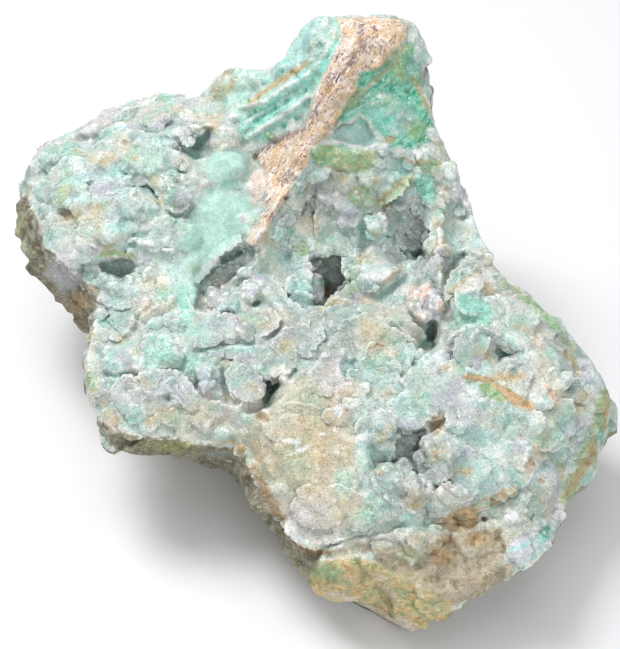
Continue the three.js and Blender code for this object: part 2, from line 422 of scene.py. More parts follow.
@dataclass(frozen=True)
class Mark:
    """One feature of the stone as it is seen from the front.

    Attributes:
        name: What it is.
        shape: Line, area or spot.
        points: Its route, its outline, or a spot's middle, in view points.
        half: Half a line's width, or a spot's two radii, in view points.
        rise: How far it stands up, or goes in where it is below 0, in millimetres.
        mineral: What it is coloured as, if it has a colour of its own.
        amount: How far that colour covers.
        soft: How far its edge fades, in view points.
        turn: A spot's turn clockwise in the view, in degrees.
    """

    name: str
    shape: Shape
    points: tuple[Point, ...]
    half: tuple[float, float]
    rise: float
    mineral: Mineral | None
    amount: float
    soft: float
    turn: float = 0

    def apart(self, x: Array, y: Array) -> Array:
        """Measures how far view points lie outside the feature.

        Args:
            x: View points across.
            y: View points down.

        Returns:
            The distance in view points, below 0 inside.
        """
        if self.shape is Shape.SPOT:
            angle = math.radians(self.turn)
            along = (x - self.points[0][0]) * math.cos(angle) + (y - self.points[0][1]) * math.sin(angle)
            over = (y - self.points[0][1]) * math.cos(angle) - (x - self.points[0][0]) * math.sin(angle)
            reach = np.hypot(along / self.half[0], over / self.half[1])
            return (reach - 1) * min(self.half)
        route = self.points + (self.points[:1] if self.shape is Shape.AREA else ())
        nearest = np.full(len(x), 1e6)
        inside = np.zeros(len(x), bool)
        for (x0, y0), (x1, y1) in zip(route[:-1], route[1:]):
            long = max((x1 - x0) ** 2 + (y1 - y0) ** 2, 1e-6)
            share = np.clip(((x - x0) * (x1 - x0) + (y - y0) * (y1 - y0)) / long, 0, 1)
            nearest = np.minimum(nearest, np.hypot(x - x0 - share * (x1 - x0), y - y0 - share * (y1 - y0)))
            if y0 != y1:
                crosses = (y0 > y) != (y1 > y)
                inside ^= crosses & (x < x0 + (y - y0) * (x1 - x0) / (y1 - y0))
        if self.shape is Shape.AREA:
            return np.where(inside, -nearest, nearest)
        return nearest - self.half[0]

    @property
    def stout(self) -> float:
        """How thick it is at its thinnest, in view points, which is how far its edge can stray."""
        return 6.0 if self.shape is Shape.AREA else min(self.half)

    def near(self, x: Array, y: Array, margin: float) -> Array:
        """Picks the view points that the feature can reach.

        Args:
            x: View points across.
            y: View points down.
            margin: How far past the feature's own edge to look.

        Returns:
            The places of those points.
        """
        reach = margin + self.soft + (0 if self.shape is Shape.AREA else max(self.half))
        xs, ys = zip(*self.points)
        close = (x > min(xs) - reach) & (x < max(xs) + reach) & (y > min(ys) - reach) & (y < max(ys) + reach)
        return np.nonzero(close)[0]

    def cover(self, apart: Array) -> Array:
        """Turns distances outside the feature into its share of each point, from 0 to 1."""
        return ramp(apart, self.soft, -self.soft)

    def swell(self, apart: Array) -> Array:
        """Turns distances outside the feature into its rounded height.

        Args:
            apart: The distances, in view points.

        Returns:
            The heights, from 0 to 1.
        """
        if self.shape is Shape.AREA:
            return ramp(apart, self.soft * 0.6, -self.soft * 1.4)
        depth = np.clip(-apart / min(self.half), 0, 1)
        return np.sqrt(1 - (1 - depth) ** 2)


def line(name: str, points: tuple[Point, ...], half: float, rise: float = 0, mineral: Mineral | None = None,
         amount: float = 0.8, soft: float = 1.5) -> Mark:
    """Makes a feature that follows a route, such as a ridge, a rim or a fissure."""
    return Mark(name, Shape.LINE, points, (half, half), rise, mineral, amount, soft)


def area(name: str, points: tuple[Point, ...], rise: float = 0, mineral: Mineral | None = None,
         amount: float = 0.8, soft: float = 2) -> Mark:
    """Makes a feature that fills an outline, such as a plate or a vug."""
    return Mark(name, Shape.AREA, points, (0, 0), rise, mineral, amount, soft)


def spot(name: str, at: Point, half: float | Point, rise: float = 0, mineral: Mineral | None = None,
         amount: float = 0.8, soft: float = 1.5, turn: float = 0) -> Mark:
    """Makes a round or oval feature, such as a nodule, a stain or a small hole."""
    radii = half if isinstance(half, tuple) else (half, half)
    return Mark(name, Shape.SPOT, (at,), radii, rise, mineral, amount, soft, turn)


def spots(name: str, mineral: Mineral, *rows: tuple[object, ...]) -> tuple[Mark, ...]:
    """Makes several spots of one mineral, numbered in order.

    Args:
        name: What they are.
        mineral: What they are coloured as.
        rows: Each one's middle, radii and rise, then its amount, soft edge and turn where it has its own.

    Returns:
        The features.
    """
    return tuple(spot(f"{name} {number}", at, half, rise, mineral, *rest)
                 for number, (at, half, rise, *rest) in enumerate(rows, 1))


# Marks below coloured with the dark hollow colour, the dark druse spots, and marks named shade or shaded are
# painted shade.
# Broad washes of colour, laid first. They hardly change the form.
WASHES = (
    area("left lobe", ((20, 200), (35, 150), (75, 132), (112, 108), (155, 92), (215, 92), (215, 150),
         (200, 190), (185, 240), (180, 300), (100, 300), (45, 252)), 0, Mineral.AQUA, 0.45, 10),
    spot("left lobe, grey back", (120, 135), (60, 25), 0, Mineral.GREY, 0.4, 14, -20),
    spot("left lobe, cream lower left", (60, 235), (26, 30), 0, Mineral.CREAM, 0.4, 12, 30),
    area("mint sheet", ((205, 188), (232, 185), (250, 196), (255, 215), (248, 236), (228, 250), (212, 262),
         (203, 276), (197, 305), (194, 328), (182, 326), (180, 296), (187, 262), (180, 240), (183, 222),
         (192, 205)), 0, Mineral.SHEET, 0.8, 8),
    area("middle", ((205, 270), (262, 225), (300, 215), (380, 250), (445, 250), (450, 330), (330, 345),
         (215, 350), (190, 330)), 0, Mineral.GREY, 0.45, 14),
    area("lower left lobe", ((88, 330), (140, 300), (200, 330), (262, 350), (270, 400), (240, 445),
         (140, 437), (90, 400)), 0, Mineral.GREY, 0.5, 12),
    spot("lower left lobe, lilac", (128, 405), (38, 20), 0, Mineral.LILAC, 0.6, 12, 20),
    spot("lower left lobe, tan", (184, 415), (34, 18), 0, Mineral.TAN, 0.6, 10, 5),
    area("lower plate", ((232, 440), (262, 400), (296, 376), (322, 352), (352, 362), (366, 392), (352, 430),
         (352, 470), (372, 505), (345, 540), (302, 545), (280, 515), (252, 470)), 0, Mineral.TAN, 0.85, 10),
    spot("lower plate, lilac foot", (305, 520), (22, 26), 0, Mineral.LILAC, 0.5, 12, 40),
    area("cream-tan plate", ((300, 345), (330, 312), (372, 303), (404, 308), (424, 322), (425, 342),
         (395, 352), (362, 350), (330, 358)), 0, Mineral.TAN, 0.55, 8),
    area("right lobe, upper", ((447, 298), (467, 255), (497, 250), (510, 288), (548, 315), (572, 364),
         (560, 385), (500, 370), (450, 350)), 0, Mineral.CREAM, 0.38, 9),
    area("right lobe, lower", ((365, 360), (450, 350), (560, 380), (606, 390), (580, 450), (560, 500),
         (490, 490), (420, 500), (378, 480), (352, 430)), 0, Mineral.AQUA, 0.3, 14),
    spot("right lobe, mint heart", (500, 440), (46, 26), 0, Mineral.MINT, 0.35, 16, 15),
    area("apron", ((330, 550), (352, 508), (400, 512), (455, 500), (512, 500), (566, 494), (556, 530),
         (510, 563), (455, 592), (395, 565)), 0, Mineral.TAN, 0.6, 10),
    # The dark druse spots are painted shade.
    spot("middle, dark druse", (290, 338), (66, 34), 0, Mineral.SLATE_AND_SHADE, 0.75, 12),
    spot("under the sheet vug, dark druse", (226, 314), (34, 12), 0, Mineral.SLATE_AND_SHADE, 0.4, 8),
    spot("right lobe, dark druse", (520, 368), (24, 16), 0, Mineral.SLATE_AND_SHADE, 0.55, 8),
    spot("round the low vug, dark druse", (420, 480), (40, 28), 0, Mineral.SLATE_AND_SHADE, 0.6, 10),
    spot("by the grape cavity, dark druse", (425, 265), (34, 16), 0, Mineral.SLATE_AND_SHADE, 0.5, 7),
    spot("lower left lobe, pale druse", (186, 416), (56, 22), 0, Mineral.CREAM, 0.6, 9),
    spot("over the apron, dark druse", (415, 515), (34, 14), 0, Mineral.SLATE_AND_SHADE, 0.5, 8),
    spot("right lobe, warm druse", (522, 412), (50, 40), 0, Mineral.CREAM, 0.38, 14),
    spot("right lobe, grey druse", (466, 420), (36, 34), 0, Mineral.GREY, 0.5, 12),
    spot("right lobe, blue plate", (478, 438), (15, 10), 0, Mineral.SLATE_AND_SHADE, 0.7, 5, 20),
    spot("right lobe, blue plate 2", (480, 408), (10, 8), 0, Mineral.SLATE_AND_SHADE, 0.6, 4),
    spot("right lobe, green wash", (560, 420), (11, 18), 0, Mineral.GRASS, 0.35, 7, 20),
    spot("mottled middle, olive wash", (414, 402), (13, 15), 0, Mineral.OLIVE, 0.35, 7),
    spot("under the sheet, grey druse", (205, 335), (36, 18), 0, Mineral.GREY, 0.4, 10),
    spot("mottled middle, dark druse", (372, 372), (36, 16), 0, Mineral.SLATE_AND_SHADE, 0.35, 8),
)

LEFT_LOBE = (
    line("left ridge", ((30, 184), (52, 178), (70, 172), (84, 167)), 4, 1.3, Mineral.CREAM, 0.5),
    line("groove under left ridge", ((45, 190), (75, 183), (100, 176)), 2.5, -1, Mineral.GREY, 0.5),
    line("aqua ridge", ((66, 184), (100, 177), (146, 172)), 5.5, 1.3, Mineral.MINT, 0.6, 3),
    line("aqua ridge, lower", ((60, 200), (100, 195), (132, 190)), 5, 1, Mineral.MINT, 0.4, 3),
    line("back ridge", ((75, 135), (100, 124), (128, 112), (152, 98)), 5, 1, Mineral.CREAM, 0.4, 3),
    line("back groove", ((84, 146), (112, 133), (140, 120), (166, 112)), 2.5, -0.9, Mineral.GREY, 0.5),
    line("middle ridge", ((36, 168), (60, 156), (88, 148), (118, 138)), 5, 1.1, Mineral.GREY, 0.3, 3),
    line("middle groove", ((48, 172), (80, 160), (112, 150), (138, 144)), 2.5, -0.9, Mineral.TAN, 0.5),
    spot("teal boss", (172, 198), (19, 15), 1.8, Mineral.TEAL, 0.5, 5),
    area("plate above fissure", ((118, 192), (132, 184), (150, 186), (154, 200), (162, 210), (146, 214),
         (126, 210)), 0.8, Mineral.AQUA, 0.5),
    line("lip ridge", ((79, 245), (105, 240), (133, 240), (160, 247), (172, 250)), 4, 1.7, Mineral.WHITE,
         0.5, 2.5),
    line("lip under ridge", ((92, 250), (102, 257), (118, 258), (136, 256)), 2, 0.7, Mineral.CREAM, 0.6),
    line("olive bar", ((103, 254), (118, 253), (131, 255)), 2.6, 0.8, Mineral.OLIVE, 0.95, 1),
    area("green cavity", ((97, 262), (110, 258), (130, 260), (137, 266), (132, 274), (118, 279), (104, 275)),
         -2.4, Mineral.HOLLOW_SHADE, 0.6, 2),
    spot("pale block", (91, 129), (12, 6), 1.8, Mineral.LILAC, 0.7, 1.5, -10),
    spot("white nodule", (77, 168), (7, 5), 1.6, Mineral.WHITE, 0.85),
    *spots("small ball", Mineral.WHITE,
           ((90, 140), 3.4, 1, 0.8), ((110, 143), 3.4, 1, 0.8)),
    spot("cream patch", (112, 116), (16, 8), 0.3, Mineral.CREAM, 0.6, 5, -20),
    spot("pink-tan patch", (112, 153), (22, 9), 0, Mineral.PINK, 0.4, 6, -20),
    spot("tan patch behind", (158, 108), (22, 6), 0, Mineral.TAN, 0.5, 5, -18),
    spot("dark pit", (125, 142), 2.4, -1, Mineral.BROWN, 0.9),
    spot("aqua dome 1", (165, 138), (15, 9), 1.3, Mineral.MINT, 0.55, 4, -10),
    spot("aqua dome 2", (150, 151), (14, 8), 1, Mineral.AQUA, 0.6, 4, -10),
    spot("aqua dome 3", (162, 166), (15, 9), 1.2, Mineral.MINT, 0.5, 4, 10),
    spot("aqua dome 4", (140, 166), (9, 7), 0.9, Mineral.AQUA, 0.6, 4),
    spot("aqua dome 5", (136, 208), (16, 8), 0.9, Mineral.AQUA, 0.5, 4, -10),
    area("white-lilac block", ((171, 130), (180, 126), (190, 134), (197, 142), (192, 147), (184, 144),
         (176, 138)), 2.8, Mineral.WHITE, 0.85, 1),
    area("shaded teal vug", ((182, 150), (190, 143), (199, 136), (208, 130), (209, 140), (206, 153),
         (198, 162), (188, 158)), -1.6, Mineral.TEAL, 0.65, 2.5),
    line("shaded teal vug, foot", ((196, 148), (204, 137), (208, 130)), 2.5, -1, Mineral.HOLLOW_SHADE, 0.35),
    area("cream-green block", ((208, 141), (213, 129), (222, 123), (237, 127), (244, 136), (243, 146),
         (228, 149), (214, 152), (208, 148)), 1.8, Mineral.CREAM, 0.6, 1.5),
    area("mint dome", ((207, 163), (213, 153), (228, 149), (242, 149), (248, 157), (245, 171), (232, 181),
         (219, 185), (209, 178)), 0.6, Mineral.SHEET, 0.85, 5.5),
    spot("cream nodule", (183, 164), (11, 7), 1.8, Mineral.CREAM, 0.85, 1.2),
    spot("white nodule on sheet", (204, 184), (5, 4), 1.2, Mineral.WHITE, 0.9),
    spot("grey knobs by sheet", (190, 178), (15, 9), 1, Mineral.GREY, 0.5, 3),
    spot("white knob low on sheet", (244, 218), (6, 6), 1.2, Mineral.WHITE, 0.8),
    spot("grey-blue ball", (232, 111), 10, 1.2, Mineral.LILAC, 0.5, 3),
    line("grey-pink ridge", ((135, 123), (170, 112), (205, 101)), 6, 0.9, Mineral.TAN, 0.4, 3),
    area("olive-grey block", ((184, 120), (198, 111), (212, 113), (210, 124), (197, 131), (187, 128)), 1.5,
         Mineral.TAN, 0.55, 1.5),
    spot("ochre stain", (71, 216), (13, 8), 0, Mineral.OCHRE, 0.65, 6, -20),
    spot("ochre stain, beside", (98, 207), (18, 5), 0, Mineral.OCHRE, 0.45, 5, -6),
    spot("mint streak low", (120, 228), (40, 6), 0.4, Mineral.MINT, 0.5, 5, -6),
    spot("pink-grey patch low", (156, 222), (26, 8), 0, Mineral.PINK, 0.35, 6, -8),
    line("pale left rim", ((25, 196), (31, 212), (40, 228), (42, 244), (57, 255), (74, 271), (88, 283)), 2.6,
         0.8, Mineral.WHITE, 0.75, 1.5),
    spot("peach patch", (143, 300), (14, 8), 0.5, Mineral.PINK, 0.55, 4, -20),
    spot("ochre patch", (150, 283), (12, 8), 0, Mineral.OCHRE, 0.35, 6),
    spot("grey patch", (118, 297), (20, 10), 0.3, Mineral.GREY, 0.4, 6),
    line("tan ridge plate", ((134, 319), (150, 310), (170, 303)), 7, 1.2, Mineral.TAN, 0.7, 2),
    spot("turquoise band", (186, 305), (8, 24), 0, Mineral.TURQUOISE, 0.75, 5, -8),
    spot("sheet spot", (193, 268), (10, 6), 0.5, Mineral.OLIVE, 0.35, 4),
)

PEAK = (
    area("peak, left flank", ((212, 96), (232, 70), (252, 60), (272, 74), (288, 52), (300, 32), (318, 15),
         (345, 22), (336, 48), (322, 80), (305, 112), (276, 132), (252, 150), (240, 136), (236, 116)), 0,
         Mineral.TURQUOISE, 0.62, 3),
    spot("ledge dome", (248, 75), (19, 14), 1.2, Mineral.AQUA, 0.6, 4, -20),
    line("ledge dome, tan edge", ((226, 76), (236, 65), (250, 60), (262, 63)), 2.5, 0, Mineral.OCHRE, 0.55),
    line("ledge groove", ((262, 84), (272, 80), (282, 72)), 2, -1, Mineral.TEAL, 0.5),
    spot("tan-orange rough", (220, 91), (13, 8), 0.5, Mineral.ORANGE, 0.5, 4, -30),
    line("orange band", ((250, 103), (262, 93), (278, 82), (295, 71), (310, 62)), 3.2, 0.7, Mineral.ORANGE,
         0.85, 3),
    line("deep green stripe", ((252, 124), (266, 115), (284, 103), (306, 90)), 2, -1.6, Mineral.EMERALD, 1,
         1),
    line("deep green stripe 2", ((246, 118), (266, 108), (288, 93), (304, 84)), 1.4, -1.4, Mineral.TEAL, 0.9,
         1),
    line("pale stripe 1", ((238, 108), (262, 102), (286, 86), (308, 74)), 1.9, 1.3, Mineral.WHITE, 0.8, 1.2),
    line("turquoise stripe", ((254, 112), (276, 98), (306, 80)), 2.6, 0.6, Mineral.TURQUOISE, 1, 1.4),
    line("pale stripe 2", ((246, 138), (262, 128), (286, 113), (308, 96)), 2.3, 1.3, Mineral.WHITE, 0.75,
         1.2),
    line("turquoise stripe 2", ((240, 130), (262, 120), (290, 104), (308, 84)), 2.2, 0.4, Mineral.TURQUOISE,
         1, 1.4),
    spot("bright green dot", (270, 136), (5, 4), 0.5, Mineral.GRASS, 1, 1.2),
    *spots("dark green speck", Mineral.EMERALD,
           ((297, 118), 3, -0.6, 1, 1), ((284, 126), 3, -0.6, 1, 1),
           ((257, 111), (4, 2), -0.4, 0.9, 1, -30)),
    spot("white knobs under stripes", (247, 148), (9, 6), 0.6, Mineral.WHITE, 0.6, 3),
    area("pale green dome", ((309, 62), (309, 30), (316, 18), (326, 17), (337, 28), (335, 46), (324, 58)),
         1.4, Mineral.AQUA, 0.8, 2.5),
    spot("pale green dome, pit", (320, 46), (4, 3), -1.6, Mineral.TEAL, 0.8),
    line("turquoise folds", ((300, 82), (312, 70), (325, 62), (334, 46)), 6, 0.4, Mineral.TURQUOISE, 0.65, 3),
    line("pale fold", ((305, 76), (318, 64), (330, 44), (336, 30)), 1.8, 0.8, Mineral.CREAM, 0.7, 1.5),
    area("rind", ((337, 19), (370, 17), (399, 19), (407, 27), (405, 41), (393, 52), (378, 68), (362, 83),
         (351, 97), (341, 114), (333, 128), (318, 143), (310, 152), (308, 166), (298, 174), (286, 199),
         (276, 214), (262, 206), (268, 190), (266, 176), (256, 157), (279, 142), (305, 125), (311, 112),
         (311, 95), (320, 83), (329, 64), (335, 48), (345, 38), (338, 28)), 1, Mineral.RIND, 1, 1.5),
    area("pink lobe", ((247, 182), (254, 168), (265, 164), (268, 182), (262, 200), (252, 206)), 0.6,
         Mineral.PINK, 0.75, 2.5),
    line("rod tail", ((278, 200), (270, 212), (261, 227), (252, 240)), 5.5, 1.8, Mineral.RIND, 0.9, 1.2),
    spot("rod tail, pink end", (258, 232), (11, 8), 0, Mineral.PINK, 0.55, 3, -60),
    spot("rod tail, grey bloom", (270, 208), (10, 6), 0, Mineral.GREY, 0.35, 3, -60),
    line("rind, orange fibres", ((398, 48), (380, 63), (362, 80), (348, 98), (336, 118), (322, 136)), 4, 0.4,
         Mineral.ORANGE, 0.55, 2.5),
    line("rind, yellow side", ((404, 30), (398, 44), (384, 58)), 4, 0, Mineral.OCHRE, 0.45, 3),
    line("rind, dark streak", ((362, 23), (361, 48), (348, 68), (337, 77), (318, 104), (310, 128),
         (290, 135), (258, 153)), 3, -0.3, Mineral.SPECK, 0.7, 4.5),
    line("rind, dark streak 2", ((372, 27), (378, 32), (370, 40)), 1.6, -0.3, Mineral.SPECK, 0.7, 1.5),
    line("rind, dark streak 3", ((300, 150), (292, 168), (282, 186)), 1.6, -0.3, Mineral.SPECK, 0.5, 2),
    line("rind, grey bloom", ((352, 40), (338, 66), (322, 92), (312, 116)), 4, 0, Mineral.LILAC, 0.25, 4),
    spot("rind, yellow top", (392, 30), (14, 8), 0, Mineral.OCHRE, 0.4, 5, -20),
    spot("rind, shaded spread", (272, 158), (16, 14), 0, Mineral.BROWN, 0.3, 5, -40),
    spot("rind, orange spot", (330, 89), (6, 4), 0.3, Mineral.ORANGE, 0.95, 1.5, -30),
    spot("rind, ochre fibres", (342, 102), (6, 11), 0.3, Mineral.OCHRE, 0.6, 2, 35),
    spot("rind, orange low", (296, 160), (8, 5), 0.2, Mineral.ORANGE, 0.5, 3, -40),
    *spots("black dot", Mineral.PIT,
           ((256, 157), 2.2, -0.6, 1, 0.8), ((286, 198), 2, -0.6, 1, 0.8)),
    area("green face", ((405, 42), (420, 42), (421, 60), (419, 75), (424, 95), (430, 118), (437, 130),
         (430, 142), (410, 150), (392, 146), (372, 122), (345, 121), (334, 128), (343, 112), (354, 95),
         (365, 82), (380, 68), (394, 54)), 0, Mineral.EMERALD, 0.8, 2),
    spot("emerald patch", (368, 80), (12, 9), 0.4, Mineral.EMERALD, 1, 3, -40),
    area("mottled grass side", ((396, 54), (410, 44), (420, 56), (418, 76), (404, 84), (390, 78)), 0.3,
         Mineral.GRASS, 0.7, 4),
    spot("teal side", (412, 68), (8, 10), 0, Mineral.TEAL, 0.6, 4),
    line("lilac edge", ((414, 38), (419, 48), (418, 58)), 4, 0.6, Mineral.WHITE, 0.75, 2),
    spot("black hole", (407, 91), (3, 2.6), -1.6, Mineral.PIT, 1, 1),
    spot("white streak", (381, 96), (9, 3), 0.4, Mineral.WHITE, 0.7, 2),
    line("green face, white seam", ((347, 115), (366, 104), (386, 100), (402, 104)), 1.6, 0.4, Mineral.WHITE,
         0.6, 2.5),
    line("green face, dark seam", ((366, 84), (386, 90), (404, 88), (418, 96)), 1.8, -0.9, Mineral.EMERALD,
         1, 2.5),
    line("green face, olive seam", ((384, 116), (400, 112), (418, 122), (430, 136)), 2.6, 0.3, Mineral.OLIVE,
         0.7, 3),
    line("green face, gold edge", ((350, 106), (362, 92), (378, 78), (394, 62), (404, 46)), 2.4, 0.3,
         Mineral.OCHRE, 0.8, 2.5),
    spot("olive patch", (385, 107), (15, 8), 0.3, Mineral.OLIVE, 0.75, 4),
    spot("pale turquoise fibres", (400, 126), (13, 12), 0.4, Mineral.TURQUOISE, 0.7, 4),
    spot("emerald fibres", (398, 120), (8, 8), 0, Mineral.EMERALD, 0.6, 4),
    spot("green face, pale foot", (384, 116), (30, 13), 0, Mineral.TURQUOISE, 0.75, 6, -5),
    spot("green low", (415, 132), (7, 9), 0, Mineral.GRASS, 0.75, 3),
    line("orange rim", ((414, 80), (421, 92), (427, 108)), 3.2, 0.2, Mineral.ORANGE, 0.65, 2.5),
    area("window vug", ((329, 138), (338, 131), (343, 126), (351, 126), (358, 119), (366, 123), (367, 130),
         (376, 137), (371, 143), (363, 144), (354, 149), (347, 142)), -1.4, Mineral.SHEET, 0.9, 2),
    spot("window vug, blue middle", (352, 135), (14, 7), 0, Mineral.LILAC, 0.35, 4),
    line("window frame, top", ((331, 132), (341, 123), (350, 122), (360, 115), (369, 121), (371, 129),
         (378, 137)), 1.5, 0.8, Mineral.WHITE, 0.85, 1.6),
    line("window frame, foot", ((322, 143), (341, 141), (352, 145), (366, 148), (377, 144)), 1.8, 1,
         Mineral.WHITE, 0.9, 1),
    area("granular mound", ((311, 150), (324, 144), (348, 149), (372, 149), (382, 158), (376, 168),
         (357, 174), (335, 171), (316, 165)), 1.3, Mineral.OLIVE, 0.95, 2.5),
    spot("granular mound, green left", (322, 155), (11, 8), 0, Mineral.GRASS, 0.85, 4),
    line("mound, white foot", ((318, 167), (336, 173), (352, 176), (370, 172), (380, 162)), 1.8, 0.5,
         Mineral.WHITE, 0.7, 1.2),
    *spots("orange dot", Mineral.ORANGE,
           ((390, 139), (4.5, 4), 0, 0.8, 2), ((422, 162), (4, 3), 0.3, 0.9, 1.2),
           ((437, 165), (4, 3), 0.3, 0.9, 1.2)),
    line("orange seam", ((403, 158), (414, 164), (430, 160)), 1.8, 0, Mineral.ORANGE, 0.6, 2),
    area("pale blue hollow", ((378, 156), (392, 152), (402, 160), (396, 172), (382, 176), (376, 166)), -0.8,
         Mineral.AQUA, 0.75, 3),
    spot("white cluster", (422, 151), (15, 5), 0.9, Mineral.WHITE, 0.75, 2.5, -10),
    area("white block", ((428, 128), (436, 126), (441, 134), (439, 142), (430, 140)), 1.2, Mineral.WHITE,
         0.85, 1.2),
    spot("dark hole by cluster", (419, 148), 2.4, -1.2, Mineral.HOLLOW_SHADE, 0.9, 1),
    spot("green under cluster", (430, 166), (12, 8), 0.3, Mineral.GRASS, 0.6, 4),
    area("orange-green lobe", ((375, 203), (385, 190), (398, 179), (412, 173), (415, 180), (409, 189),
         (398, 198), (384, 207)), 1.4, Mineral.OLIVE, 0.7, 3),
    line("orange-green lobe, orange crest", ((378, 202), (392, 190), (404, 180), (412, 176)), 2.2, 0,
         Mineral.ORANGE, 0.6, 3),
    spot("green left of lobe", (362, 196), (15, 12), 0.5, Mineral.OLIVE, 0.6, 4, 30),
    area("fibrous strip", ((413, 182), (420, 174), (431, 176), (436, 190), (434, 206), (426, 204),
         (417, 194)), 0.4, Mineral.JADE, 0.75, 2),
    spot("cream rosette hollow", (444, 190), (8, 7), -0.8, Mineral.CREAM, 0.8, 2),
    spot("cream rosette heart", (446, 189), (3, 2.4), -0.6, Mineral.BROWN, 0.8, 1),
    spot("right edge druse", (455, 184), (10, 16), 0.9, Mineral.AQUA, 0.55, 4, -20),
    spot("right edge white", (449, 172), (9, 7), 0.8, Mineral.WHITE, 0.6, 3),
)

